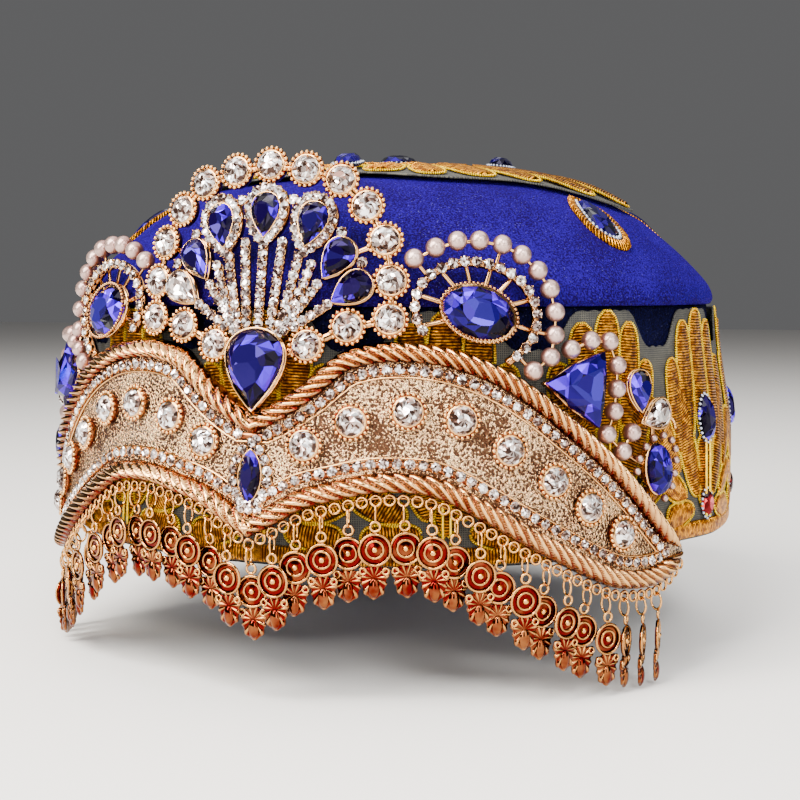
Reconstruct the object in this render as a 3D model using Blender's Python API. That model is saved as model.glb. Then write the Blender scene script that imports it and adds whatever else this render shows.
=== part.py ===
"""Dance crown: a velvet cap with gold embroidery and a jewelled metal front.

The origin is the centre of the rim, where the head band meets the head.
+Z is up and the front of the crown faces -Y. Sizes below are in millimetres,
angles in degrees, counted from the front towards +X. Meshes are made in metres.
"""

import math

import bpy
import bmesh
import numpy as np

MM = 0.001

# Cap: felt and velvet walls round a 565 mm head
RIM_RADIUS = 94.2
BAND_TOP_RADIUS = 91.2
BAND_WALL = 2.5
BAND_TOP = 62.5
SEAM_GAP = 0.3
DOME_WALL = 2.2
CAP_SIDES = 32

# Dome outline: radius, height
DOME_PROFILE = (
    (92.3, 62.8),
    (92.9, 64.8),
    (91.0, 69.0),
    (84.3, 76.2),
    (77.5, 82.2),
    (70.5, 87.6),
    (57.0, 94.3),
    (40.0, 98.0),
    (22.0, 99.9),
    (8.0, 100.5),
)

# Side applique: an embroidered strip of leaf fans
MOTIFS = 14
MOTIF_COLUMNS = 5
STRIP_WALL = 1.8
STRIP_BOTTOM = 0.3
STRIP_TOP = 62.0
STRIP_GAP_TOP = 50.0
STRIP_GAP = 0.4
STRIP_SIDE_RADIUS = 99.0
STRIP_TOP_RADIUS = 94.6
# Degrees from the front to each fan, the same on both sides
MOTIF_TURNS = (0.0, 27.3, 54.6, 78.6, 103.8, 129.2, 154.6, 180.0)

# Top applique: a spray of leaves laid across the dome
SPRAY_REACH = 68.0
SPRAY_WAIST = 50.0
SPRAY_THICKNESS = 1.6
SPRAY_LIFT = 1.7
SPRAY_SIDES = 24
SPRAY_SHARES = (0.2, 0.57, 0.81, 1.0)

# Metal front: back face radius at the reference height, and its lean
METAL_RADIUS = 96.0
LEAN_HEIGHT = 47.0
LEAN_SLOPE = 0.1353
LEAN_CURVE = 0.0007
FLAT_RADIUS = 98.0
SEAT_GAP = 0.3

# Plate edges, right half: angle, height
UPPER_EDGE = (
    (0.0, 37.9),
    (3.4, 40.9),
    (6.9, 45.0),
    (9.7, 49.0),
    (12.4, 52.3),
    (16.5, 54.2),
    (20.6, 54.7),
    (24.7, 54.2),
    (28.8, 52.8),
    (34.4, 49.2),
    (40.2, 43.4),
    (46.8, 34.8),
    (54.5, 23.9),
    (64.0, 8.3),
    (69.0, 0.7),
)
LOWER_EDGE = (
    (0.0, 8.0),
    (3.5, 11.2),
    (7.9, 15.4),
    (12.3, 17.4),
    (16.6, 19.0),
    (20.6, 19.2),
    (25.3, 18.0),
    (31.1, 12.8),
    (40.0, 3.7),
    (49.9, -5.0),
    (55.1, -7.6),
    (61.0, -8.1),
    (65.2, -6.4),
    (69.7, -2.1),
)
PLATE_STATIONS = 17
FIELD_THICKNESS = 1.6
ROPE_WIDTH = 5.0

# Rope outline from its outer edge to its inner edge: share of the width, height
ROPE_PROFILE = (
    (0.0, 1.2),
    (0.2, 3.8),
    (0.5, 4.6),
    (0.8, 3.8),
    (1.0, 1.6),
)

# Round stones in beaded bezels: outline radius, height above the base
BEZEL_LEVELS = (
    (4.3, 0.0),
    (4.3, 2.1),
    (2.2, 3.4),
)
BEZEL_SIDES = 10
PLATE_STONE_BASE = 0.8

# Round stones in the plate: angle, height
PLATE_STONES = (
    (7.6, 30.0),
    (14.0, 35.6),
    (21.7, 38.1),
    (29.0, 36.0),
    (35.7, 28.7),
    (42.3, 20.9),
    (48.0, 13.9),
    (53.9, 6.6),
)

# Crest: round stones of the arc and of its two feet: angle, height
CREST_STONES = (
    (6.0, 95.6),
    (11.7, 92.9),
    (15.7, 86.6),
    (18.5, 78.4),
    (19.4, 68.8),
    (19.2, 59.7),
    (13.2, 58.0),
    (7.3, 53.6),
)
CREST_TOP = (0.0, 96.9)
LINK_WIDTH = 2.2
LINK_LEVELS = (0.2, 1.6)

# Fan drops: angle, height, turn of the tip from straight down, halo width
FAN_DROPS = (
    (0.0, 85.3, 0.0, 2.3),
    (7.5, 82.9, -15.0, 2.3),
    (11.4, 74.6, -34.0, 0.5),
    (13.6, 67.4, -57.0, 0.5),
)
DROP_HALF_WIDTH = 3.6
DROP_HALF_HEIGHT = 5.2
DROP_DEPTH = 2.8
HALO_THICKNESS = 1.5
RAY_WIDTH = 2.0

# Fan rays: foot along the surface and its height, head along the surface and its height
FAN_RAYS = (
    (0.0, 55.0, 0.0, 80.0),
    (3.0, 55.4, 5.2, 79.0),
    (5.0, 55.0, 10.0, 76.5),
    (6.4, 56.0, 13.2, 73.7),
    (6.8, 57.6, 15.4, 69.4),
    (8.6, 57.4, 18.4, 64.2),
)

# Centre stones
CENTRE_PEAR_HEIGHT = 47.8
CENTRE_PEAR_HALF_WIDTH = 7.4
CENTRE_PEAR_HALF_HEIGHT = 9.5
CENTRE_PEAR_DEPTH = 4.6
PEAR_SEAT_THICKNESS = 1.3
MARQUISE_HEIGHT = 22.3
MARQUISE_HALF_WIDTH = 2.9
MARQUISE_HALF_HEIGHT = 6.3
MARQUISE_DEPTH = 2.6

# Oval stones
OVAL_PLACE = (31.8, 61.2)
OVAL_HALF_WIDTH = 9.9
OVAL_HALF_HEIGHT = 7.0
OVAL_TURN = -20.0
OVAL_DEPTH = 4.2

# Arc of small stones round the oval, from its left foot: angle, height
SPARK_ARC = (
    (24.0, 56.3),
    (22.9, 60.4),
    (22.9, 65.2),
    (24.8, 69.9),
    (28.3, 72.9),
    (32.0, 73.2),
    (36.0, 71.2),
    (39.0, 67.2),
    (40.4, 61.6),
    (39.8, 55.6),
    (37.7, 51.7),
    (35.9, 49.4),
)
SPARK_STATIONS = 13
SPARK_BAND = 2.2
SPOKES = 7
SPOKE_START = 15.0

# Arc of pearls outside it: angle, height
PEARL_ARC = (
    (22.7, 74.0),
    (25.8, 76.6),
    (29.0, 78.2),
    (32.2, 78.3),
    (35.6, 77.4),
    (38.5, 75.0),
    (40.9, 71.3),
    (42.7, 66.9),
    (43.4, 61.4),
    (43.2, 55.9),
    (42.4, 50.6),
    (39.7, 47.4),
)
PEARL_RADIUS = 2.15
PEARL_SIDES = 10
PEARL_LIFT = 1.7
WIRE = 1.1

# Side cluster: pearls round the triangle stone: angle, height
CLUSTER_PEARLS = (
    (45.8, 52.4),
    (49.2, 54.4),
    (52.5, 54.1),
    (53.9, 48.2),
    (53.7, 42.4),
    (53.1, 36.9),
    (51.7, 31.4),
    (54.6, 26.9),
    (56.6, 31.4),
)
TRIANGLE_PLACE = (47.4, 43.1)
TRIANGLE_REACH = 10.4
TRIANGLE_TURN = 173.0
TRIANGLE_DEPTH = 4.4
BLUE_PEAR_PLACE = (58.0, 41.6)
BLUE_PEAR_TURN = 4.0
CLEAR_PEAR_PLACE = (61.6, 35.2)
CLEAR_PEAR_TURN = -72.0
END_OVAL_PLACE = (61.8, 21.6)
END_OVAL_HALF_WIDTH = 5.2
END_OVAL_HALF_HEIGHT = 6.6
END_OVAL_DEPTH = 3.8
SEED_RING_WIDTH = 2.6

# Pendant fringe
LOOP_STATIONS = 20
LOOP_DROP = 0.65
LOOP_HEIGHT = 2.2
LOOP_DEPTH = 2.2
CHARM_PITCH = 6.4
CHARMS_PER_SIDE = 19
CHARM_FALL = 10.5
CHARM_DISC = 3.5
CHARM_TAIL = 7.0
CHARM_THICKNESS = 0.9
CHARM_NECK = 0.9
END_CHARMS = 3
END_CHARM_TURN = 62.0


def clear_scene():
    """Removes every object, so the script gives the same model each run."""
    for item in list(bpy.data.objects):
        bpy.data.objects.remove(item, do_unlink=True)


def material(name, color, roughness, metallic):
    """A Principled material with the sub-part's colour, roughness and metallic value."""
    made = bpy.data.materials.new(name)
    made.use_nodes = True
    shader = made.node_tree.nodes["Principled BSDF"]
    shader.inputs["Base Color"].default_value = (*color, 1.0)
    shader.inputs["Roughness"].default_value = roughness
    shader.inputs["Metallic"].default_value = metallic
    return made


def new_object(name, mesh_data, finish):
    """Makes a mesh object from a finished bmesh, with its faces turned outwards."""
    bmesh.ops.recalc_face_normals(mesh_data, faces=mesh_data.faces)
    mesh = bpy.data.meshes.new(name)
    mesh_data.to_mesh(mesh)
    mesh_data.free()
    mesh.materials.append(finish)
    made = bpy.data.objects.new(name, mesh)
    bpy.context.scene.collection.objects.link(made)
    return made


def loft(name, rings, finish, ends_meet=False):
    """A closed body through rings of points (millimetres).

    Each ring is joined to the next by quads, and the two ends are capped. Where
    ends_meet is set, the last ring is joined to the first instead.
    """
    rings = np.asarray(rings, float) * MM
    mesh_data = bmesh.new()
    verts = [[mesh_data.verts.new(point) for point in ring] for ring in rings]
    count = len(verts)
    size = len(verts[0])
    for i in range(count if ends_meet else count - 1):
        here = verts[i]
        there = verts[(i + 1) % count]
        for j in range(size):
            k = (j + 1) % size
            mesh_data.faces.new((here[j], here[k], there[k], there[j]))
    if not ends_meet:
        mesh_data.faces.new(verts[0])
        mesh_data.faces.new(verts[-1])
    return new_object(name, mesh_data, finish)


def unite(name, pieces, finish):
    """One closed body from overlapping closed pieces, by exact Boolean unions."""
    base = pieces[0]
    for piece in pieces[1:]:
        join = base.modifiers.new("join", "BOOLEAN")
        join.operation = "UNION"
        join.solver = "EXACT"
        join.object = piece
    bpy.context.view_layer.update()
    graph = bpy.context.evaluated_depsgraph_get()
    mesh = bpy.data.meshes.new_from_object(base.evaluated_get(graph))
    mesh.name = name
    mesh.materials.clear()
    mesh.materials.append(finish)
    made = bpy.data.objects.new(name, mesh)
    bpy.context.scene.collection.objects.link(made)
    for piece in pieces:
        bpy.data.objects.remove(piece, do_unlink=True)
    return made


def mirrored(source, name):
    """The left twin of a right-hand piece: x is negated and the faces turned back."""
    mesh_data = bmesh.new()
    mesh_data.from_mesh(source.data)
    for vert in mesh_data.verts:
        vert.co.x = -vert.co.x
    bmesh.ops.reverse_faces(mesh_data, faces=mesh_data.faces)
    mesh = bpy.data.meshes.new(name)
    mesh_data.to_mesh(mesh)
    mesh_data.free()
    mesh.materials.append(source.data.materials[0])
    made = bpy.data.objects.new(name, mesh)
    bpy.context.scene.collection.objects.link(made)
    return made


def catmull(points, per_span=8):
    """Points on a Catmull-Rom curve through a table's rows."""
    rows = np.asarray(points, float)
    padded = np.vstack((2 * rows[0] - rows[1], rows, 2 * rows[-1] - rows[-2]))
    steps = np.linspace(0.0, 1.0, per_span, endpoint=False)[:, None]
    spans = []
    for i in range(1, len(padded) - 2):
        before, start, end, after = padded[i - 1:i + 3]
        spans.append(0.5 * (2 * start + (end - before) * steps
                            + (2 * before - 5 * start + 4 * end - after) * steps ** 2
                            + (3 * start - before - 3 * end + after) * steps ** 3))
    spans.append(rows[-1:])
    return np.vstack(spans)


def travelled(points):
    """Distance along a polyline at each of its points."""
    steps = np.linalg.norm(np.diff(points, axis=0), axis=1)
    return np.concatenate(([0.0], np.cumsum(steps)))


def evenly(points, count):
    """The same polyline as count points at equal distances along it."""
    along = travelled(points)
    wanted = np.linspace(0.0, along[-1], count)
    return np.stack([np.interp(wanted, along, points[:, i]) for i in range(2)], -1)


def beside(points, distance):
    """The line that runs beside a polyline at a distance to its left, with mitred corners."""
    runs = np.diff(points, axis=0)
    runs /= np.linalg.norm(runs, axis=1)[:, None]
    before = np.vstack((runs[:1], runs))
    after = np.vstack((runs, runs[-1:]))
    both = before + after
    square = 1.0 + np.sum(before * after, axis=1)
    normals = np.stack((-both[:, 1], both[:, 0]), -1) / square[:, None]
    return points + normals * np.asarray(distance)[..., None]


def both_sides(right):
    """A right half that starts on the middle plane, and its mirror image, left end first."""
    return np.vstack((right[:0:-1] * (-1.0, 1.0), right))


def flat(rows):
    """Angle and height rows as distances along the unrolled metal and heights."""
    rows = np.asarray(rows, float)
    return np.stack((np.radians(rows[..., 0]) * FLAT_RADIUS, rows[..., 1]), -1)


def metal_radius(angle, height):
    """Radius of the metal's back face: it leans back over the brow, not at the sides."""
    rise = height - LEAN_HEIGHT
    lean = LEAN_SLOPE * rise + LEAN_CURVE * np.maximum(rise, 0.0) ** 2
    return METAL_RADIUS - lean * np.cos(angle) ** 2


def rolled(along, height, out, hang_height=None):
    """Unrolled coordinates as points round the head.

    Distance along becomes an angle, and height stays. The radius is that of the
    metal's back face plus out; with a hang height it is taken at that height, so a
    hanging piece stays upright.
    """
    angle = along / FLAT_RADIUS
    at = height if hang_height is None else np.maximum(height, hang_height)
    radius = metal_radius(angle, at) + out
    return np.stack((radius * np.sin(angle), -radius * np.cos(angle), height), -1)


def roll_up(made, hang_line=None):
    """Rolls a piece that was made flat (along, height, out) round the head."""
    mesh = made.data
    places = np.empty(len(mesh.vertices) * 3)
    mesh.vertices.foreach_get("co", places)
    along, height, out = (places.reshape(-1, 3) / MM).T
    hang_height = None
    if hang_line is not None:
        hang_height = np.interp(along, hang_line[:, 0], hang_line[:, 1])
    points = rolled(along, height, out, hang_height)
    mesh.vertices.foreach_set("co", (points * MM).ravel())
    mesh.update()
    return made


def seated(rings, place, lift):
    """Rings of right, up, out about a place, on the plane that touches the metal there."""
    step = 0.01
    along, height = place
    origin = rolled(along, height, 0.0)
    right = rolled(along + step, height, 0.0) - origin
    rise = rolled(along, height + step, 0.0) - origin
    right /= np.linalg.norm(right)
    out = np.cross(right, rise)
    out /= np.linalg.norm(out)
    up = np.cross(out, right)
    rings = np.asarray(rings, float)
    return (origin + rings[..., :1] * right + rings[..., 1:2] * up
            + (rings[..., 2:] + lift) * out)


def raised(outlines, heights):
    """Outlines as rings, each at its own height out."""
    return np.array([np.column_stack((outline, np.full(len(outline), rise)))
                     for outline, rise in zip(outlines, heights)])


def turned(outline, degrees):
    """An outline turned counter-clockwise about its middle."""
    angle = math.radians(degrees)
    turn = np.array(((math.cos(angle), math.sin(angle)), (-math.sin(angle), math.cos(angle))))
    return outline @ turn


def oval_outline(half_width, half_height, sides):
    """Points of an ellipse."""
    angles = np.arange(sides) * 2 * math.pi / sides
    return np.column_stack((half_width * np.cos(angles), half_height * np.sin(angles)))


def pear_outline(half_width, half_height, sides):
    """A pear drop with its tip down: the width follows sin(t) times sin(t/2)."""
    angles = np.arange(sides) * 2 * math.pi / sides
    widths = np.sin(angles) * np.abs(np.sin(angles / 2))
    return np.column_stack((half_width * widths / 0.77, -half_height * np.cos(angles)))


def marquise_outline(half_width, half_height, sides):
    """A pointed oval: the width follows sin(t) to a power above one."""
    angles = np.arange(sides) * 2 * math.pi / sides
    widths = np.sin(angles) * np.abs(np.sin(angles)) ** 0.5
    return np.column_stack((half_width * widths, half_height * np.cos(angles)))


def triangle_outline(reach, sides):
    """A triangle with bowed sides: a straight-sided triangle blended with a circle."""
    angles = np.arange(sides) * 2 * math.pi / sides
    third = 2 * math.pi / 3
    straight = 0.5 / np.cos(np.mod(angles, third) - third / 2)
    radii = reach * (0.85 * straight + 0.15)
    return np.column_stack((radii * np.cos(angles), radii * np.sin(angles)))


def gem(name, outline, depth, place, lift, finish):
    """A stone in its rim setting: the rim's wall, its lip, the crown facets and the table."""
    outlines = (outline, outline, outline * 0.87, outline * 0.52)
    heights = (0.0, 0.5 * depth, 0.56 * depth, depth)
    return loft(name, seated(raised(outlines, heights), place, lift), finish)


def bezel(place, base, finish):
    """A round stone with its beaded rim, flat, as one faceted body."""
    outlines = [oval_outline(radius, radius, BEZEL_SIDES) + place for radius, _ in BEZEL_LEVELS]
    return loft("bezel", raised(outlines, [base + rise for _, rise in BEZEL_LEVELS]), finish)


def pearl(place, finish):
    """A pearl as a faceted ball of three rings, flat."""
    slope = math.sqrt(0.5)
    shares = (slope, 1.0, slope)
    outlines = [oval_outline(PEARL_RADIUS * share, PEARL_RADIUS * share, PEARL_SIDES) + place
                for share in shares]
    heights = PEARL_LIFT + PEARL_RADIUS * slope * np.array((-1.0, 0.0, 1.0))
    return loft("pearl", raised(outlines, heights), finish)


def bar(start, end, width, levels, finish):
    """A flat bar between two places, between two levels out of the metal's back face."""
    start = np.asarray(start, float)
    end = np.asarray(end, float)
    side = np.array((start[1] - end[1], end[0] - start[0]))
    side *= 0.5 * width / np.linalg.norm(side)
    outline = np.array((start - side, end - side, end + side, start + side))
    return loft("bar", raised((outline, outline), levels), finish)


def slab(outline, place, levels, finish):
    """A flat plate of an outline between two levels."""
    outline = outline + np.asarray(place)
    return loft("slab", raised((outline, outline), levels), finish)


def cap_band(finish):
    """The side wall: a felt hoop round the head, a little wider at the rim."""
    profile = ((RIM_RADIUS - BAND_WALL, 0.0), (RIM_RADIUS, 0.0), (BAND_TOP_RADIUS, BAND_TOP),
               (BAND_TOP_RADIUS - BAND_WALL, BAND_TOP))
    angles = np.arange(CAP_SIDES) * 2 * math.pi / CAP_SIDES
    rings = [[(r * math.sin(a), -r * math.cos(a), z) for r, z in profile] for a in angles]
    return loft("cap_band", rings, finish, ends_meet=True)


def cap_top(finish):
    """The velvet dome: an open shell whose lip rests on the side wall."""
    outer = np.array(DOME_PROFILE)
    slopes = np.gradient(outer, axis=0)
    slopes /= np.linalg.norm(slopes, axis=1)[:, None]
    inner = outer + DOME_WALL * np.column_stack((-slopes[:, 1], slopes[:, 0]))
    foot = (BAND_TOP_RADIUS - BAND_WALL, DOME_PROFILE[0][1])
    rows = np.vstack((inner[:2:-2], foot, outer))
    angles = np.arange(CAP_SIDES) * 2 * math.pi / CAP_SIDES
    rings = [[(r * math.sin(a), -r * math.cos(a), z) for a in angles] for r, z in rows]
    return loft("cap_top", rings, finish)


def dome_height(radius):
    """Height of the dome's outer face at a radius."""
    rows = np.array(DOME_PROFILE[1:])[::-1]
    return np.interp(radius, rows[:, 0], rows[:, 1])


def strip_radius(angle, height):
    """Outer radius of the side strip: close under the metal, fuller at the sides and back."""
    wall = RIM_RADIUS + (BAND_TOP_RADIUS - RIM_RADIUS) * height / BAND_TOP
    front = wall + STRIP_GAP + STRIP_WALL
    up = np.clip((height - 22.0) / 40.0, 0.0, 1.0)
    side = STRIP_SIDE_RADIUS - (STRIP_SIDE_RADIUS - STRIP_TOP_RADIUS) * up * up * (3 - 2 * up)
    turn = np.clip((np.abs(angle) - math.radians(71)) / math.radians(12), 0.0, 1.0)
    return front + (side - front) * turn * turn * (3 - 2 * turn)


def side_applique(finish):
    """The embroidered strip: a thin hoop whose top edge rises and dips with the leaf fans."""
    columns = MOTIFS * MOTIF_COLUMNS
    rings = []
    for i in range(columns):
        place = i / MOTIF_COLUMNS
        turn = np.interp(min(place, MOTIFS - place), np.arange(MOTIFS // 2 + 1), MOTIF_TURNS)
        angle = math.radians(turn if place <= MOTIFS / 2 else -turn)
        phase = 2.0 * abs((place + 0.5) % 1.0 - 0.5)
        dip = min(1.0, max(0.0, (phase - 0.5) / 0.35)) ** 2
        top = STRIP_TOP - (STRIP_TOP - STRIP_GAP_TOP) * dip
        heights = np.array((STRIP_BOTTOM, 24.0, LEAN_HEIGHT, top))
        outer = strip_radius(angle, heights)
        inner = outer - STRIP_WALL
        points = list(zip(outer, heights)) + [(inner[j], heights[j]) for j in (3, 0)]
        rings.append([(r * math.sin(angle), -r * math.cos(angle), z) for r, z in points])
    return loft("side_applique", rings, finish, ends_meet=True)


def top_applique(finish):
    """The spray on the dome: long to both sides, narrow to the front and back."""
    angles = np.arange(SPRAY_SIDES) * 2 * math.pi / SPRAY_SIDES
    reach = SPRAY_WAIST + (SPRAY_REACH - SPRAY_WAIST) * np.abs(np.cos(angles)) ** 3
    reach += 2.5 * np.cos(angles * SPRAY_SIDES / 4)
    high = SPRAY_LIFT + SPRAY_THICKNESS
    levels = [(share, SPRAY_LIFT) for share in SPRAY_SHARES]
    levels += [(share, high) for share in SPRAY_SHARES[::-1]]
    rings = []
    for share, lift in levels:
        radii = reach * share
        rings.append(np.column_stack((radii * np.cos(angles), radii * np.sin(angles),
                                      dome_height(radii) + lift)))
    return loft("top_applique", rings, finish)


def tiara_plate(finish):
    """The plate: two half-round ropes and the field between, with its round stones."""
    lower = evenly(catmull(flat(LOWER_EDGE)), PLATE_STATIONS)
    upper = evenly(catmull(flat(UPPER_EDGE)), PLATE_STATIONS)
    rope = np.minimum(ROPE_WIDTH, 0.42 * np.linalg.norm(upper - lower, axis=1))
    lower_in = both_sides(beside(lower, rope))
    upper_in = both_sides(beside(upper, -rope))
    lower = both_sides(lower)
    upper = both_sides(upper)
    lines = [(lower + (lower_in - lower) * share, rise) for share, rise in ROPE_PROFILE]
    lines += [(upper + (upper_in - upper) * share, rise) for share, rise in ROPE_PROFILE[::-1]]
    lines += [(upper, 0.0), (lower, 0.0)]
    rings = np.array([np.column_stack((line, np.full(len(line), rise))) for line, rise in lines])
    pieces = [loft("plate", rings.transpose(1, 0, 2), finish)]
    for place in flat(PLATE_STONES):
        for side in (1.0, -1.0):
            pieces.append(bezel(place * (side, 1.0), PLATE_STONE_BASE, finish))
    return roll_up(unite("tiara_plate", pieces, finish))


def crest(finish):
    """The arc of round stones, the ray fan, and the seats behind the drops and the pear."""
    seat = pear_outline(CENTRE_PEAR_HALF_WIDTH, CENTRE_PEAR_HALF_HEIGHT, 14)
    middle = np.array((0.0, CENTRE_PEAR_HEIGHT))
    pieces = [slab(seat, middle, (0.0, PEAR_SEAT_THICKNESS), finish)]
    top = flat(CREST_TOP)
    stones = flat(CREST_STONES)
    drops = flat([row[:2] for row in FAN_DROPS])
    pieces.append(bezel(top, 0.0, finish))
    pieces.append(bar(drops[0], top, 1.4, (0.4, 1.2), finish))
    for side in (1.0, -1.0):
        flip = np.array((side, 1.0))
        chain = [top] + [place * flip for place in stones]
        pieces += [bezel(place, 0.0, finish) for place in chain[1:]]
        chain.append(middle + (0.4 * CENTRE_PEAR_HALF_WIDTH * side, 3.0))
        for here, there in zip(chain, chain[1:]):
            pieces.append(bar(here, there, LINK_WIDTH, LINK_LEVELS, finish))
        for drop, stone in ((1, 1), (2, 3), (3, 4)):
            pieces.append(bar(drops[drop] * flip, stones[stone] * flip, 1.4, (0.4, 1.2), finish))
    for angle, height, turn, halo in FAN_DROPS:
        outline = turned(pear_outline(DROP_HALF_WIDTH + halo, DROP_HALF_HEIGHT + halo, 10), turn)
        for side in ((1.0,) if angle == 0.0 else (1.0, -1.0)):
            place = flat((angle, height)) * (side, 1.0)
            pieces.append(slab(outline * (side, 1.0), place, (0.0, HALO_THICKNESS), finish))
    for foot, low, head, high in FAN_RAYS:
        for side in ((1.0,) if foot == 0.0 else (1.0, -1.0)):
            pieces.append(bar((side * foot, low), (side * head, high), RAY_WIDTH, LINK_LEVELS,
                              finish))
    return roll_up(unite("crest", pieces, finish))


def fan_drops(blue, clear):
    """The seven pear stones of the fan; the lowest one on the left is clear."""
    number = 1
    for angle, height, turn, _ in FAN_DROPS:
        outline = turned(pear_outline(DROP_HALF_WIDTH, DROP_HALF_HEIGHT, 10), turn)
        for side in ((1.0,) if angle == 0.0 else (1.0, -1.0)):
            place = flat((angle, height)) * (side, 1.0)
            gem("fan_drop_%d" % number, outline * (side, 1.0), DROP_DEPTH, place,
                LINK_LEVELS[1] + SEAT_GAP, clear if number == 7 else blue)
            number += 1


def centre_stones(finish):
    """The large pear over the brow and the marquise below it."""
    pear = pear_outline(CENTRE_PEAR_HALF_WIDTH, CENTRE_PEAR_HALF_HEIGHT, 14)
    gem("centre_pear", pear, CENTRE_PEAR_DEPTH, (0.0, CENTRE_PEAR_HEIGHT),
        LINK_LEVELS[1] + SEAT_GAP, finish)
    marquise = marquise_outline(MARQUISE_HALF_WIDTH, MARQUISE_HALF_HEIGHT, 12)
    gem("centre_marquise", marquise, MARQUISE_DEPTH, (0.0, MARQUISE_HEIGHT),
        FIELD_THICKNESS + SEAT_GAP, finish)


def oval_frame(finish):
    """The frame of the right oval: its seat, spokes, the stone arc and the arc of pearls."""
    centre = flat(OVAL_PLACE)
    arc = evenly(catmull(flat(SPARK_ARC)), SPARK_STATIONS)
    inner = beside(arc, np.full(len(arc), -0.5 * SPARK_BAND))
    outer = beside(arc, np.full(len(arc), 0.5 * SPARK_BAND))
    lines = ((inner, 0.0), (outer, 0.0), (outer, 1.6), (inner, 1.6))
    rings = np.array([np.column_stack((line, np.full(len(line), rise))) for line, rise in lines])
    seat = turned(oval_outline(OVAL_HALF_WIDTH, OVAL_HALF_HEIGHT, 14), OVAL_TURN)
    pieces = [loft("band", rings.transpose(1, 0, 2), finish), slab(seat, centre, (0.1, 1.0), finish)]
    for i in range(SPOKES):
        angle = SPOKE_START + i * 210.0 / (SPOKES - 1) - 30.0
        reach = np.array((math.cos(math.radians(angle)), math.sin(math.radians(angle))))
        end = arc[np.argmax((arc - centre) @ reach / np.linalg.norm(arc - centre, axis=1))]
        start = centre + 0.45 * (end - centre)
        pieces.append(bar(start, end, WIRE, (0.3, 0.9), finish))
    places = flat(PEARL_ARC)
    for here, there in zip(places, places[1:]):
        pieces.append(bar(here, there, WIRE, (PEARL_LIFT - 0.5, PEARL_LIFT + 0.5), finish))
    pieces += [pearl(place, finish) for place in places]
    for i in (0, 4, 9, 11):
        end = arc[np.argmin(np.linalg.norm(arc - places[i], axis=1))]
        pieces.append(bar(end, places[i], WIRE, (0.6, 1.5), finish))
    return roll_up(unite("oval_frame_right", pieces, finish))


def side_cluster(finish):
    """Pearls on wire round the triangle stone, with the seats of the outer stones."""
    places = flat(CLUSTER_PEARLS)
    centre = flat(TRIANGLE_PLACE)
    outer = flat((BLUE_PEAR_PLACE, CLEAR_PEAR_PLACE, END_OVAL_PLACE))
    outline = turned(triangle_outline(0.8 * TRIANGLE_REACH, 12), TRIANGLE_TURN)
    pieces = [slab(outline, centre, (0.0, 1.0), finish)]
    for here, there in zip(places, places[1:]):
        pieces.append(bar(here, there, WIRE, (PEARL_LIFT - 0.5, PEARL_LIFT + 0.5), finish))
    pieces += [pearl(place, finish) for place in places]
    for i in (1, 4, 6):
        pieces.append(bar(centre, places[i], 1.4, (0.3, 1.3), finish))
    for here, there in ((places[4], outer[0]), (outer[0], outer[1]), (places[7], outer[2]),
                        (outer[1], outer[2])):
        pieces.append(bar(here, there, 1.6, (0.5, 1.6), finish))
    return roll_up(unite("side_cluster_right", pieces, finish))


def side_stones(blue, clear):
    """The right-hand stones of the oval frame and of the cluster."""
    oval = turned(oval_outline(OVAL_HALF_WIDTH, OVAL_HALF_HEIGHT, 16), OVAL_TURN)
    triangle = turned(triangle_outline(TRIANGLE_REACH, 12), TRIANGLE_TURN)
    blue_pear = turned(pear_outline(DROP_HALF_WIDTH, DROP_HALF_HEIGHT, 10), BLUE_PEAR_TURN)
    clear_pear = turned(pear_outline(DROP_HALF_WIDTH, DROP_HALF_HEIGHT, 10), CLEAR_PEAR_TURN)
    made = [
        gem("oval_stone_right", oval, OVAL_DEPTH, flat(OVAL_PLACE), 1.0 + SEAT_GAP, blue),
        gem("triangle_stone_right", triangle, TRIANGLE_DEPTH, flat(TRIANGLE_PLACE),
            1.3 + SEAT_GAP, blue),
        gem("blue_pear_right", blue_pear, DROP_DEPTH, flat(BLUE_PEAR_PLACE), 1.6 + SEAT_GAP, blue),
        gem("clear_pear_right", clear_pear, DROP_DEPTH, flat(CLEAR_PEAR_PLACE), 1.6 + SEAT_GAP,
            clear),
    ]
    stone = oval_outline(END_OVAL_HALF_WIDTH, END_OVAL_HALF_HEIGHT, 12)
    round_it = np.arange(12) * 2 * math.pi / 12
    ring = stone * (1.0 + SEED_RING_WIDTH * np.minimum(1.0, 2.0 + 2.0 * np.cos(
        round_it - 0.25 * math.pi)) / np.linalg.norm(stone, axis=1))[:, None]
    rings = raised((ring, ring, stone, stone, stone * 0.5),
                   (0.0, 1.5, 1.6, 0.7 * END_OVAL_DEPTH, END_OVAL_DEPTH))
    made.append(loft("end_oval_right", seated(rings, flat(END_OVAL_PLACE), 1.6 + SEAT_GAP), blue))
    return made


def charm_outline():
    """A charm seen from the front: neck, disc and a lobed fan tail, hung from y = 0."""
    base = -CHARM_FALL
    right = [(CHARM_NECK, 0.0), (CHARM_NECK, base + CHARM_DISC - 0.1)]
    for angle in (45.0, 5.0, -38.0):
        right.append((CHARM_DISC * math.cos(math.radians(angle)),
                      base + CHARM_DISC * math.sin(math.radians(angle))))
    right += [(2.9, base - 4.6), (1.3, base - CHARM_DISC - CHARM_TAIL + 1.6)]
    tip = [(0.0, base - CHARM_DISC - CHARM_TAIL)]
    return np.array(right + tip + [(-x, y) for x, y in right[::-1]])


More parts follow.
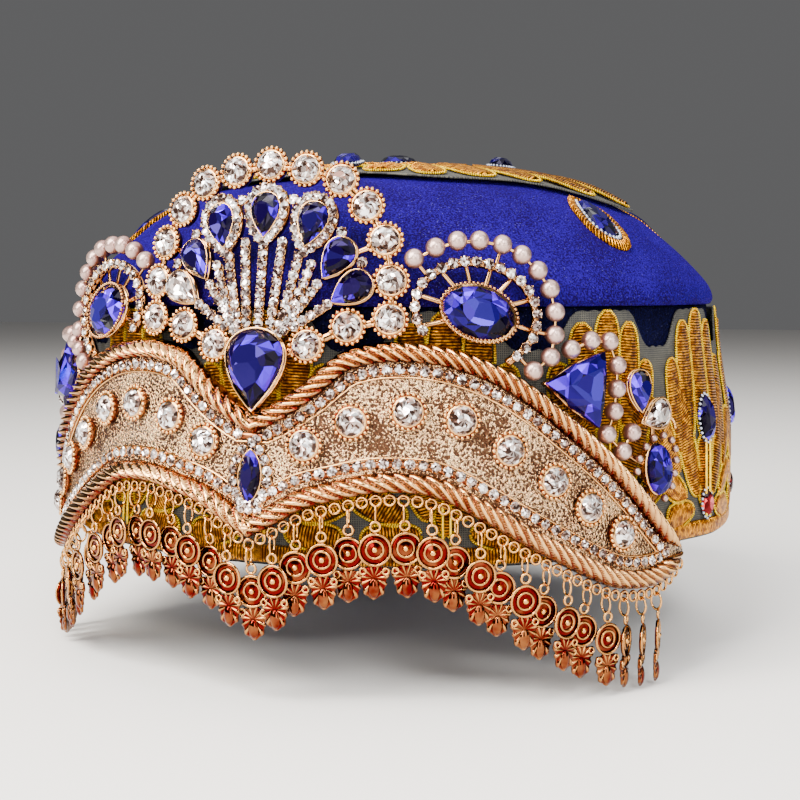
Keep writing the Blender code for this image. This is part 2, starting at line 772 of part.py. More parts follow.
def charm(place, in_front, turn, finish):
    """One flat charm; neighbours hang in two layers, and the end ones hang edge-on."""
    outline = charm_outline()
    low = LOOP_DEPTH - CHARM_THICKNESS + 0.15 if in_front else -0.15
    if turn:
        low = 0.5 * (LOOP_DEPTH - CHARM_THICKNESS)
    across = np.array((math.cos(math.radians(turn)), 0.0, -math.sin(math.radians(turn))))
    out = np.array((math.sin(math.radians(turn)), 0.0, math.cos(math.radians(turn))))
    middle = low + 0.5 * CHARM_THICKNESS
    origin = np.array((place[0], place[1], middle))
    rings = [origin + outline[:, :1] * across + outline[:, 1:] * (0.0, 1.0, 0.0) + level * out
             for level in (-0.5 * CHARM_THICKNESS, 0.5 * CHARM_THICKNESS)]
    return loft("charm", rings, finish)


def pendant_fringe(finish):
    """The row of cast loops under the plate and the charms that hang from it."""
    right = evenly(catmull(flat(LOWER_EDGE)), LOOP_STATIONS) - (0.0, LOOP_DROP + 0.5 * LOOP_HEIGHT)
    row = both_sides(right)
    lines = ((row - (0.0, 0.5 * LOOP_HEIGHT), 0.0), (row - (0.0, 0.5 * LOOP_HEIGHT), LOOP_DEPTH),
             (row + (0.0, 0.5 * LOOP_HEIGHT), LOOP_DEPTH), (row + (0.0, 0.5 * LOOP_HEIGHT), 0.0))
    rings = np.array([np.column_stack((line, np.full(len(line), rise))) for line, rise in lines])
    pieces = [loft("loops", rings.transpose(1, 0, 2), finish)]
    along = travelled(right)
    for i in range(CHARMS_PER_SIDE):
        place = np.array([np.interp(CHARM_PITCH * i, along, right[:, j]) for j in range(2)])
        turn = END_CHARM_TURN if i >= CHARMS_PER_SIDE - END_CHARMS else 0.0
        for side in ((1.0,) if i == 0 else (1.0, -1.0)):
            pieces.append(charm(place * (side, 1.0), i % 2 == 1, side * turn, finish))
    return roll_up(unite("pendant_fringe", pieces, finish), hang_line=row)


def main():
    """Builds every sub-part of the crown."""
    clear_scene()
    velvet = material("blue_velvet", (0.023, 0.026, 0.38), 0.9, 0.0)
    navy = material("navy_felt", (0.006, 0.006, 0.04), 0.95, 0.0)
    gold_thread = material("gold_thread", (0.55, 0.30, 0.03), 0.5, 0.4)
    gold = material("rose_gold", (0.87, 0.62, 0.40), 0.2, 1.0)
    blue = material("blue_glass", (0.02, 0.01, 0.5), 0.05, 0.0)
    clear = material("clear_glass", (0.8, 0.8, 0.82), 0.03, 0.0)
    pearl_finish = material("pearl_and_wire", (0.80, 0.62, 0.58), 0.25, 0.1)
    cap_band(navy)
    cap_top(velvet)
    side_applique(gold_thread)
    top_applique(gold_thread)
    tiara_plate(gold)
    crest(gold)
    fan_drops(blue, clear)
    centre_stones(blue)
    pairs = [oval_frame(pearl_finish), side_cluster(pearl_finish)] + side_stones(blue, clear)
    for piece in pairs:
        mirrored(piece, piece.name.replace("_right", "_left"))
    pendant_fringe(gold)


main()
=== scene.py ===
"""Dance crown: its velvet, thread, cast metal and stones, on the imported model.

The rim's centre is the origin, +Z is up and the front faces -Y. Shapes are worked out
in millimetres and angles in degrees, counted from the front towards +X. Flat work has
x along, y up and z out, and is rolled round the head, or set on it, afterwards.
"""
import math

import bmesh
import bpy
import numpy as np
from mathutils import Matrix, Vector


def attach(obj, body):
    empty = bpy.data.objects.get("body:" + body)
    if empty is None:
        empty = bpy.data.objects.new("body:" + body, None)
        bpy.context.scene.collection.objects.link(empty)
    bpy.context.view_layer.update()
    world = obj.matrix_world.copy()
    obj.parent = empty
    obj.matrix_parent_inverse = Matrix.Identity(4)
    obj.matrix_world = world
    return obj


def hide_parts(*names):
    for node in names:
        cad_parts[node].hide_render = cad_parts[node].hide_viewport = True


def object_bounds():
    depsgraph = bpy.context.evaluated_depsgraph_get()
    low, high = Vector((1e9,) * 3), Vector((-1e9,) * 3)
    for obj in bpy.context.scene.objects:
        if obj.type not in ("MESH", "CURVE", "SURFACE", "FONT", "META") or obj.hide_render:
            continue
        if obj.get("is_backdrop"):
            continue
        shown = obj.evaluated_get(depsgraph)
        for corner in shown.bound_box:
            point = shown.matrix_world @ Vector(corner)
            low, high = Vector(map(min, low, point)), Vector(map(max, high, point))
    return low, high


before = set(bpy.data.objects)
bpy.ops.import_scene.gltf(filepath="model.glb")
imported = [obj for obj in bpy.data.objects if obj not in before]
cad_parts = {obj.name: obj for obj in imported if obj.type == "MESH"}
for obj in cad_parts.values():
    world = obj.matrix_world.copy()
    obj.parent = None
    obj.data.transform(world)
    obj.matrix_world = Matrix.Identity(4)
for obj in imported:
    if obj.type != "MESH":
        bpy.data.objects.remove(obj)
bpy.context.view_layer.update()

MM = 0.001
LUCK = np.random.default_rng(11)
RIGHT_AND_LEFT = (1.0, -1.0)

# Cap: radii and height of the side wall, thickness of the cloth, points round the head
RIM_RADIUS, BAND_TOP_RADIUS, BAND_TOP, WALL = 94.2, 91.2, 62.5, 2.2
HEAD_SIDES = 128
# Outline of the dome: radius, height
DOME_PROFILE = ((92.3, 62.8), (92.9, 64.8), (91.0, 69.0), (84.3, 76.2), (77.5, 82.2),
                (70.5, 87.6), (57.0, 94.3), (40.0, 98.0), (22.0, 99.9), (8.0, 100.5))

# Embroidered strip round the side: its motifs and where each stands, the radius it is worked
# flat at, its top edge and the dip between motifs, and the height of its foot
MOTIFS = 14
MOTIF_TURNS = (0.0, 27.3, 54.6, 78.6, 103.8, 129.2, 154.6, 180.0)
MOTIFS_BEHIND_METAL = (0, 1, 2, MOTIFS - 2, MOTIFS - 1)
STRIP_SPREAD = 97.0
STRIP_TOP, STRIP_DIP, STRIP_FOOT = 62.0, 9.5, 0.4
# How far the strip's face stands off the wall in front, and the angles between which it swells
STRIP_OFF_WALL, SWELL_ANGLES = 2.2, (71.0, 83.0)
# Its radius at the sides' foot, how much less it is at their top, and the heights between
STRIP_SIDE_RADIUS, STRIP_SIDE_LEAN, STRIP_LEAN_HEIGHTS = 99.0, 4.4, (22.0, 62.0)
# How far under the strip's face its net lies, the net's thickness, and points along each motif
STRIP_NET_DEPTH, NET_THICKNESS, MOTIF_STEPS = 1.3, 0.5, 24

# Metal front: radius of its back face at a reference height, and its lean
METAL_RADIUS, LEAN_HEIGHT, LEAN_SLOPE, LEAN_CURVE, FLAT_RADIUS = 96.0, 47.0, 0.1353, 0.0007, 98.0

# Edges of the plate, right half: angle, height
UPPER_EDGE = ((0.0, 37.9), (3.4, 40.9), (6.9, 45.0), (9.7, 49.0), (12.4, 52.3), (16.5, 54.2),
              (20.6, 54.7), (24.7, 54.2), (28.8, 52.8), (34.4, 49.2), (40.2, 43.4),
              (46.8, 34.8), (54.5, 23.9), (64.0, 8.3), (69.0, 0.7))
LOWER_EDGE = ((0.0, 8.0), (3.5, 11.2), (7.9, 15.4), (12.3, 17.4), (16.6, 19.0), (20.6, 19.2),
              (25.3, 18.0), (31.1, 12.8), (40.0, 3.7), (49.9, -5.0), (55.1, -7.6),
              (61.0, -8.1), (65.2, -6.4), (69.7, -2.1))
# Ropes: width, length of one strand, how far it slants, and points across; rhinestone chains
# and the wire inside them: distance from the rope
ROPE_WIDTH, STRAND, STRAND_SLANT, ROPE_ACROSS = 5.0, 3.3, 1.4, 13
CHAIN_INSET, WIRE_INSET, CHAIN_PITCH = 1.75, 3.3, 3.0
# Where a chain's first stones are from the middle, right and left, the rope's width from which
# there is room for a chain, and how far it keeps from the marquise and from the tips' foot
CHAIN_STARTS, CHAIN_ROOM, MARQUISE_CLEAR, CHAIN_FOOT = (1.3, 4.2), 4.2, 4.0, -9.0
# A chain's bed and the wire beside it: height and radius
BED, WIRE = (1.15, 1.15), (1.75, 0.3)
# Round stones of the plate and of the crest, right half: angle, height
PLATE_STONES = ((7.6, 30.0), (14.0, 35.6), (21.7, 38.1), (29.0, 36.0), (35.7, 28.7),
                (42.3, 20.9), (48.0, 13.9), (53.9, 6.6))
CREST_STONES = ((6.0, 95.6), (11.7, 92.9), (15.7, 86.6), (18.5, 78.4), (19.4, 68.8),
                (19.2, 59.7), (13.2, 58.0), (7.3, 53.6))
CREST_TOP = (0.0, 96.9)
# A round stone's setting: radius and height of its turned wall, where its collar begins,
# and the radius and height of its ring of beads
SEAT_WALL = ((4.3, 0.0), (4.35, 1.0), (4.1, 1.3), (3.8, 1.2), (3.65, 1.9), (3.3, 1.9))
SEAT_COLLAR, SEAT_BEADS, SEAT_BEAD_HEIGHT = 3.7, 4.2, 1.5
# How high rhinestone cups stand, and their stones over them
CUP_LIFT, STONE_LIFT = 2.0, 0.1
# How high the plate's hammered field stands, and its round stones' settings
FIELD_RISE, PLATE_SEAT_LIFT = 1.55, 1.3

# Fan: drops (angle, height, turn, halo width) and rays (along, height, along, height)
FAN_DROPS = ((0.0, 84.5, 0.0, 2.3), (7.5, 82.1, -15.0, 2.3), (11.4, 73.8, -34.0, 0.5),
             (13.6, 66.6, -57.0, 0.5))
FAN_RAYS = ((0.0, 55.0, 0.0, 79.0), (3.0, 55.4, 5.2, 78.0), (5.0, 55.0, 10.0, 75.5),
            (6.4, 56.0, 13.2, 72.7), (6.8, 57.6, 15.4, 68.6), (8.6, 57.4, 18.4, 63.6))
FAN_SPARKS = ((26.0, 73.0), (20.7, 80.2), (-26.0, 73.0), (-20.7, 80.2), (-7.0, 88.2),
              (7.7, 88.1))
# Drops are counted from the middle, right before left; the seventh holds a clear stone.
# Pairs are a drop of the table above and the crest stone that it is tied to
CLEAR_DROP, DROP_TIES = 7, ((1, 1), (2, 3), (3, 4))
# A drop's half width and half height, how high set stones stand, stones' pitch along a ray,
# and where the arc's last strap ends beside the large pear
DROP_SIZE, DROP_RISE, RAY_PITCH, CREST_FOOT = (3.75, 5.5), 1.9, 2.4, (3.0, 50.8)
# Large pear and marquise: place, half width and half height
CENTRE_PEAR_PLACE, CENTRE_PEAR_SIZE = (0.0, 47.5), (7.6, 9.8)
MARQUISE_PLACE, MARQUISE_SIZE = (0.0, 22.3), (2.9, 6.3)

# Sides: the oval frame, its arc of rhinestones and its arc of pearls, and the outer cluster
OVAL_PLACE, OVAL_SIZE, OVAL_TURN = (31.8, 61.2), (8.9, 6.0), -20.0
SPARK_ARC = ((24.0, 56.3), (22.9, 60.4), (22.9, 65.2), (24.8, 69.9), (28.3, 72.9),
             (32.0, 73.2), (36.0, 71.2), (39.0, 67.2), (40.4, 61.6), (39.8, 55.6),
             (37.7, 51.7), (35.9, 49.4))
PEARL_ARC = ((22.7, 74.0), (25.8, 76.6), (29.0, 78.2), (32.2, 78.3), (35.6, 77.4),
             (38.5, 75.0), (40.9, 71.3), (42.7, 66.9), (43.4, 61.4), (43.2, 55.9),
             (42.4, 50.6), (39.7, 47.4))
PEARL_RADIUS, PEARL_LIFT = 2.4, 1.7
# Pearls of the arc that a strap ties to the rhinestones, and the spokes from the oval:
# how many, the first one's angle and the step
TIED_PEARLS = (0, 4, 9, 11)
SPOKES, FIRST_SPOKE, SPOKE_STEP = 8, -18.0, 30.0
CLUSTER_PEARLS = ((45.8, 52.4), (49.2, 54.4), (52.5, 54.1), (53.9, 48.2), (53.7, 42.4),
                  (53.1, 36.9), (51.7, 31.4), (54.6, 26.9), (56.6, 31.4))
TRIANGLE_PLACE, TRIANGLE_REACH, TRIANGLE_TURN = (47.4, 43.1), 10.8, 173.0
BLUE_PEAR_PLACE, BLUE_PEAR_TURN = (58.0, 41.6), 4.0
CLEAR_PEAR_PLACE, CLEAR_PEAR_TURN, SIDE_PEAR_SIZE = (61.6, 35.2), -72.0, (3.6, 5.2)
END_OVAL_PLACE, END_OVAL_SIZE, END_OVAL_TURN = (61.8, 21.6), (4.3, 6.6), 8.0
# A curl of small metal beads above the end oval: its middle (along, height) and reach
CURL_MIDDLE, CURL_REACH = (109.5, 31.0), 3.6
# Seed pearls of the end oval: radius, then along and height of each
SEED_PEARL_RADIUS = 1.0
SEED_PEARLS = ((104.2, 29.5), (108.1, 30.0), (111.7, 28.5), (113.4, 26.1), (113.7, 23.2),
               (112.9, 19.9), (111.7, 16.7), (108.4, 13.9), (101.1, 27.6), (98.7, 24.7),
               (97.7, 21.6))

# Embroidery: how high its leaves are padded on the strip and on the spray, the couched cord's
# radius and height, and a motif's two stems: half their distance, radius, height, ends
STRIP_PADDING, SPRAY_PADDING, CORD_RADIUS, CORD_LIFT = 1.3, 1.5, 0.38, 0.55
STEM_APART, STEM_RADIUS, STEM_LIFT, STEM_ENDS = 0.9, 0.34, 1.5, (6.0, 33.0)
# Satin border at the hem: height of its middle, half its width, how far it stands out
HEM_HEIGHT, HEM_HALF_WIDTH, HEM_PADDING = 2.9, 2.2, 1.1
# Leaves of one embroidered motif: foot across and up, lean from upright, length, half width
MOTIF_LEAVES = ((0.0, 27.0, 0.0, 34.5, 4.1), (6.9, 26.0, 2.5, 32.5, 3.8),
                (11.4, 24.0, 9.0, 25.0, 3.5), (12.5, 19.0, 33.0, 17.0, 3.6),
                (9.5, 12.0, 62.0, 13.0, 3.6), (6.0, 8.5, 98.0, 13.5, 3.3),
                (3.9, 12.0, 17.0, 21.0, 3.4), (6.0, 30.0, 35.0, 13.0, 3.4),
                (0.0, 8.0, 0.0, 20.0, 3.4))
# Facet rows of an oval of the embroidery and of a stone of the metal: share, height
SEWN_CUT, SET_CUT = ((1.0, 0.3), (0.8, 0.75), (0.5, 1.0)), ((1.0, 0.35), (0.8, 0.72), (0.52, 1.0))
# A motif's stones: half width, half height, depth, beads round it, height on the strip, lift
MOTIF_STONES = {"blue": (2.9, 6.0, 2.0, 24, 32.5, 0.9), "red": (2.0, 3.6, 1.6, 16, 9.5, 0.6)}

# Spray on the dome: oval stones with x, y, half width and half height, pear stones at its
# corners with x and y, and the lifts of its net and of the corner stones from the velvet
SPRAY_OVALS = ((0, 0, 5.5, 7.5), (0, 40, 3.6, 5.0), (0, -40, 3.6, 5.0), (32, 0, 3.4, 5.0),
               (-32, 0, 3.4, 5.0))
SPRAY_PEARS = ((67.5, 31.0), (67.5, -31.0), (-67.5, 31.0), (-67.5, -31.0))
SPRAY_LIFT, CORNER_LIFT = 1.8, 0.4

# Fringe: loops under the plate; charms, and how far their discs and tails hang below a loop.
# Every second charm hangs further out, so that neighbours overlap; the end ones are turned
LOOP_PITCH, LOOP_DROP = 3.2, 1.75
CHARM_PITCH, CHARMS_PER_SIDE, CHARM_FALL = 6.4, 19, 11.4
CHARM_RADIUS, TAIL_MIDDLE, TAIL_TEETH = 3.7, -18.2, 11
INNER_CHARM, OUTER_CHARM, END_CHARM = -0.05, 1.35, 1.2
END_CHARMS, END_CHARM_TURN = 3, 34.0


def unit(rows):
    """Rows of vectors brought to length one."""
    return rows / np.linalg.norm(rows, axis=-1, keepdims=True)


def quads(rows, columns, over=False):
    """Faces of rings of points, ring by ring: each point is joined round and to the next ring."""
    here = np.arange(rows if over else rows - 1)[:, None]
    left = np.arange(columns)
    right = (left + 1) % columns
    below = (here + 1) % rows * columns
    here = here * columns
    return np.stack((here + left, here + right, below + right, below + left), -1).reshape(-1, 4)


def skin(rings, marks=None, over=False):
    """A closed surface through rings of points.

    Each ring joins the next by quads, and the end rings close in triangles to their
    middles; with over the last ring joins the first. Marks are three numbers a point.
    """
    rows, columns = rings.shape[:2]
    points = rings.reshape(-1, 3)
    marks = np.zeros_like(points) if marks is None else marks.reshape(-1, 3)
    faces = quads(rows, columns, over)
    if not over:
        left = np.arange(columns)
        right = (left + 1) % columns
        blank = np.full(columns, -1)
        last = (rows - 1) * columns
        middle = np.full(columns, len(points))
        faces = np.vstack((faces, np.stack((right, left, middle, blank), -1),
                           np.stack((last + left, last + right, middle + 1, blank), -1)))
        points = np.vstack((points, rings[0].mean(0), rings[-1].mean(0)))
        marks = np.vstack((marks, marks[:columns].mean(0), marks[last:].mean(0)))
    return points, faces, marks


def tube(line, radius, sides=6, over=False):
    """A round bar: a circle about each point of the line, square to the line's run there."""
    line = np.asarray(line, float)
    runs = np.roll(line, -1, 0) - np.roll(line, 1, 0) if over else np.gradient(line, axis=0)
    side = unit(np.cross(runs, (0.0, 0.0, 1.0)))
    rise = unit(np.cross(side, runs))
    turn = around(sides)
    radius = np.broadcast_to(radius, len(line))[:, None, None]
    rings = line[:, None] + radius * (np.cos(turn)[:, None] * side[:, None]
                                      + np.sin(turn)[:, None] * rise[:, None])
    return skin(rings, over=over)


def lathed(profile, sides):
    """A turned shape: each radius and height of the profile swept round the axis out."""
    profile = np.asarray(profile, float)
    turn = around(sides)
    radius, rise = profile[:, :1], profile[:, 1:]
    return skin(np.stack((radius * np.cos(turn), radius * np.sin(turn), rise + 0 * turn), -1))


def ball(radius, sides=8, rows=4, height=0.0):
    """A ball: circles of radius r sin a at height -r cos a, with a small ring at each pole."""
    turn = np.linspace(0.0, math.pi, rows + 1)[1:-1]
    turn = np.concatenate(([0.12], turn, [math.pi - 0.12]))
    return lathed(np.column_stack((radius * np.sin(turn), height - radius * np.cos(turn))), sides)


def hoop(reach, wire, sides=16, section=6):
    """A ring: a circle of the wire's radius swept round a circle of the reach."""
    return tube(at_height(circle(reach, sides), 0.0), wire, section, over=True)


def moved(part, shift):
    """A part moved by a shift."""
    return part[0] + shift, part[1], part[2]


def marked(part, value):
    """A part with one value as its first mark, which on plate is its share of painted dark red
    shade and reflection.
    """
    marks = part[2].copy()
    marks[:, 0] = value
    return part[0], part[1], marks


def bead(radius, sides=6, rows=4):
    """A ball whose first mark, its share of painted shade, grows from nothing on top to one round
    its middle.
    """
    points, faces, marks = ball(radius, sides, rows)
    marks[:, 0] = 1.0 - np.clip(points[:, 2] / radius, 0.0, 1.0)
    return points, faces, marks


def joined(parts):
    """Several parts as one."""
    shifts = np.cumsum([0] + [len(part[0]) for part in parts[:-1]])
    faces = [np.where(part[1] < 0, -1, part[1] + shift) for part, shift in zip(parts, shifts)]
    return (np.vstack([part[0] for part in parts]), np.vstack(faces),
            np.vstack([part[2] for part in parts]))


def mirrored(part):
    """The left twin of a part: x is negated."""
    return part[0] * (-1.0, 1.0, 1.0), part[1], part[2]


def catmull(points, per_span=8):
    """Points on a Catmull-Rom curve through a table's rows."""
    rows = np.asarray(points, float)
    padded = np.vstack((2 * rows[0] - rows[1], rows, 2 * rows[-1] - rows[-2]))
    steps = np.linspace(0.0, 1.0, per_span, endpoint=False)[:, None]
    before, start, end, after = (padded[i:len(padded) - 3 + i, None] for i in range(4))
    spans = 0.5 * (2 * start + (end - before) * steps
                   + (2 * before - 5 * start + 4 * end - after) * steps ** 2
                   + (3 * start - before - 3 * end + after) * steps ** 3)
    return np.vstack((spans.reshape(-1, rows.shape[1]), rows[-1:]))


def travelled(points):
    """Distance along a line at each of its points."""
    return np.concatenate(([0.0], np.cumsum(np.linalg.norm(np.diff(points, axis=0), axis=1))))


def evenly(points, count):
    """The same line as count points at equal distances along it."""
    along = travelled(points)
    wanted = np.linspace(0.0, along[-1], count)
    return np.stack([np.interp(wanted, along, column) for column in points.T], -1)


def beside(points, distance):
    """The line beside a line, at a distance to its left, with mitred corners."""
    runs = unit(np.diff(points, axis=0))
    before, after = np.vstack((runs[:1], runs)), np.vstack((runs, runs[-1:]))
    square = 1.0 + np.sum(before * after, axis=1)
    both = before + after
    normals = np.stack((-both[:, 1], both[:, 0]), -1) / square[:, None]
    return points + normals * np.asarray(distance)[..., None]


def both_sides(right):
    """A right half that starts on the middle plane with its mirror image, left end first."""
    return np.vstack((right[:0:-1] * (-1.0, 1.0), right))


def twins(places):
    """Places and their mirror images."""
    places = np.atleast_2d(np.asarray(places, float))
    return np.vstack((places, places * (-1.0, 1.0)))


def flat(rows):
    """Angle and height as distance along the unrolled metal and height."""
    rows = np.asarray(rows, float)
    return np.stack((np.radians(rows[..., 0]) * FLAT_RADIUS, rows[..., 1]), -1)


def metal_radius(angle, height):
    """Radius of the metal's back face: it leans back over the brow, not at the sides."""
    rise = height - LEAN_HEIGHT
    lean = LEAN_SLOPE * rise + LEAN_CURVE * np.maximum(rise, 0.0) ** 2
    return METAL_RADIUS - lean * np.cos(angle) ** 2


def rolled(points):
    """Along, height and out, rolled round the head: the angle is along over the flat radius."""
    along, height, out = np.moveaxis(np.asarray(points, float), -1, 0)
    angle = along / FLAT_RADIUS
    radius = metal_radius(angle, height) + out
    return np.stack((radius * np.sin(angle), -radius * np.cos(angle), height), -1)


def roll_up(part):
    """A part that was made flat, rolled round the head."""
    return rolled(part[0]), part[1], part[2]


def seats(places, lift=0.0, turn=0.0):
    """Origin, right, up and out at places on the metal, turned counter-clockwise."""
    places = np.atleast_2d(np.asarray(places, float))
    at = np.column_stack((places, np.zeros(len(places))))
    origin = rolled(at)
    right = unit(rolled(at + (0.01, 0.0, 0.0)) - origin)
    out = unit(np.cross(right, rolled(at + (0.0, 0.01, 0.0)) - origin))
    up = np.cross(out, right)
    turn = np.radians(np.broadcast_to(turn, len(places)))[:, None]
    across = right * np.cos(turn) + up * np.sin(turn)
    return (origin + np.broadcast_to(lift, len(places))[:, None] * out, across,
            up * np.cos(turn) - right * np.sin(turn), out)


def stamped(part, frames):
    """A small shape set at many places: its points are right, up and out from each."""
    origin, right, up, out = (rows[:, None] for rows in frames)
    points, faces, marks = part
    placed = (origin + points[:, :1] * right + points[:, 1:2] * up + points[:, 2:] * out)
    shift = len(points) * np.arange(len(origin))[:, None, None]
    copies = np.where(faces < 0, -1, faces + shift)
    return placed.reshape(-1, 3), copies.reshape(-1, 4), np.tile(marks, (len(origin), 1))


def at_points(part, line):
    """A small shape set upright at points of flat work."""
    return stamped(part, (line, *(np.tile(row, (len(line), 1)) for row in np.eye(3))))


def set_on(part, places, lift=0.0, turn=0.0):
    """A small shape set at places on the metal."""
    return stamped(part, seats(places, lift, turn))


# Outlines: each takes angles and gives points about the middle

def oval(half_width, half_height, turn=0.0):
    """An ellipse, turned counter-clockwise."""
    return lambda t: np.column_stack((
        half_width * np.cos(t), half_height * np.sin(t))) @ spin(turn)


def pear(half_width, half_height, turn=0.0):
    """A drop, tip down: the width follows sin t times sin t/2."""
    return lambda t: np.column_stack((
        half_width * np.sin(t) * np.abs(np.sin(t / 2)) / 0.77,
        -half_height * np.cos(t))) @ spin(turn)


def marquise(half_width, half_height):
    """A pointed oval: the width follows sin t to a power above one."""
    return lambda t: np.column_stack((
        half_width * np.sin(t) * np.abs(np.sin(t)) ** 0.5, half_height * np.cos(t)))


def triangle(reach, turn):
    """A triangle with bowed sides: a straight one blended with a circle."""
    third = 2 * math.pi / 3

    def outline(t):
        straight = 0.5 / np.cos(np.mod(t, third) - third / 2)
        radii = reach * (0.85 * straight + 0.15)
        return np.column_stack((radii * np.cos(t), radii * np.sin(t))) @ spin(turn)
    return outline


def spin(degrees):
    """The matrix that turns rows of points counter-clockwise."""
    turn = math.radians(degrees)
    return np.array(((math.cos(turn), math.sin(turn)), (-math.sin(turn), math.cos(turn))))


def around(count, start=0.0):
    """Angles once round, from a share of a step."""
    return (np.arange(count) + start) * 2 * math.pi / count


def circle(radius, count, start=0.0):
    """Points once round a circle."""
    turn = around(count, start)
    return np.column_stack((radius * np.cos(turn), radius * np.sin(turn)))


def at_height(rows, height):
    """Flat points of x and y, with one height for all."""
    return np.column_stack((rows, np.full(len(rows), height)))


def eased(share):
    """A share held to 0 and 1, with soft ends: s squared times 3 less 2 s."""
    share = np.clip(share, 0.0, 1.0)
    return share * share * (3 - 2 * share)


def between(value, ends):
    """How far a value is on its way from one end to the other, as a share."""
    return (value - ends[0]) / (ends[1] - ends[0])


def hands(across):
    """The sides on which a piece stands: right and left, or once on the middle plane."""
    return RIGHT_AND_LEFT[:1] if across == 0 else RIGHT_AND_LEFT


def edge_line(outline, count, rise, grow=0.0):
    """A closed line at even steps along an outline, grown outwards, at a height."""
    fine = outline(around(240))
    fine = fine * (1.0 + grow / np.linalg.norm(fine, axis=1, keepdims=True))
    line = evenly(np.vstack((fine, fine[:1])), count + 1)[:-1]
    return at_height(line, rise)


def wire_round(outline, count, rise, grow, wire, sides=5):
    """A wire that runs round an outline at a height: a bar along its edge line."""
    return tube(edge_line(outline, count, rise, grow), wire, sides, over=True)


def cut_stone(outline, depth, count, levels, star=False):
    """A cut stone: rings of corners at shares of the outline, joined by flat triangles.

    Levels are share and height rows from girdle to table. Each ring stands half a step
    round from the one below. The table is a fan of triangles about its middle, whose
    mark says that it is one plane, or with star that each triangle gets its own painted
    shade, as a facet seen below it.
    """
    rings = [at_height(outline(around(count)), -0.25 * depth)]
    for number, (share, rise) in enumerate(levels):
        rings.append(at_height(outline(around(count, 0.5 * number)) * share, rise * depth))
    points = np.vstack(rings + [rings[-1].mean(0)])
    left = np.arange(count)
    right = (left + 1) % count
    blank = np.full(count, -1)
    faces = [np.stack((left, right, count + right, count + left), -1)]
    for number in range(1, len(levels)):
        low, high = count * number, count * (number + 1)
        shift = left if number % 2 else right
        other = right if number % 2 else left
        faces.append(np.stack((low + left, low + right, high + shift, blank), -1))
        faces.append(np.stack((high + right, high + left, low + other, blank), -1))
    top = count * len(levels)
    faces.append(np.stack((top + left, top + right, np.full(count, len(points) - 1), blank), -1))
    marks = np.zeros_like(points)
    marks[-1, 0] = 0.0 if star else 1.0
    return points, np.vstack(faces), marks


def slab(outline, count, low, high, grow=0.0):
    """A flat plate of an outline between two heights, its upper edge rounded off."""
    round_off, shrink = 0.25, 0.97
    base = edge_line(outline, count, low, grow)
    middle = base.mean(0)
    top = (base - middle) * (shrink, shrink, 1.0) + middle + (0, 0, high - low)
    return skin(np.array((base, base + (0, 0, high - low - round_off), top)))


# Finishes

def linear(code):
    """An sRGB hex colour as linear light."""
    share = np.array([int(code[i:i + 2], 16) for i in (1, 3, 5)]) / 255.0
    share = np.where(share <= 0.04045, share / 12.92, ((share + 0.055) / 1.055) ** 2.4)
    return (*share.tolist(), 1.0)


def put(tree, node, inputs):
    """Sets a node's inputs: each is a value, an sRGB hex colour or another node's output."""
    for socket, value in dict(inputs).items():
        if isinstance(value, bpy.types.NodeSocket):
            tree.links.new(value, node.inputs[socket])
        else:
            plain = linear(value) if isinstance(value, str) else value
            node.inputs[socket].default_value = plain


def add(tree, kind, inputs=(), give=0, **settings):
    """Adds a node with its settings and links, and gives the output that is asked for."""
    made = tree.nodes.new("ShaderNode" + kind)
    for name, value in settings.items():
        setattr(made, name, value)
    put(tree, made, inputs)
    return made.outputs[give]


def finish(name, inputs):
    """A new material, with constants set on its shader's own sockets."""
    made = bpy.data.materials.new(name)
    made.use_nodes = True
    tree = made.node_tree
    shader = tree.nodes["Principled BSDF"]
    put(tree, shader, inputs)
    return made, tree, shader


# Settings of nodes: a range with soft ends, and a blend of two colours
SOFT = {"interpolation_type": "SMOOTHSTEP"}
BLEND = {"data_type": "RGBA", "give": 2}

# Scales of the patterns, in spots a metre. Real pile is about 0.1 mm across, too fine to show:
# it is drawn 0.45 mm across. The nap lies over in drifts of 17 mm, and lint lies 1.1 mm apart
PILE, NAP, LINT = 2200.0, 60.0, 900.0
# Wraps of thread wander over 1.1 mm and tarnish in spots of 1.4 mm
WANDER, TARNISH = 900.0, 700.0
# Plate is worn over 4 mm and uneven over 1.4 mm; a hammer's pits are 0.6 mm, in drifts of 11 mm
WEAR, CAST, PITS, PIT_DRIFT = 250.0, 700.0, 1650.0, 90.0
# Lacquer clouds over 2.5 mm, net soils over 3.3 mm, and its threads are 0.55 mm apart, about
# twice the real ones, which are too fine to show
LACQUER, SOIL, NET_PITCH = 400.0, 300.0, 0.55
# Wraps of thread and turns of cord are drawn 0.75 and 0.6 mm apart, two or three times the
# real ones, so that they show
THREAD_PITCH, CORD_PITCH = 0.75, 0.6
# Patches of painted inner facets: 5 mm in blue stones, 2.5 mm in red ones and 1.25 mm in
# rhinestones
BLUE_PATCH, RED_PATCH, CLEAR_PATCH = 200.0, 400.0, 800.0
# Lint on blue pile looks pale violet; a hammer's pits are painted a dark brown shade
LINT_COLOUR, PIT_PAINTED_SHADE = "#a9adf0", "#34160c"


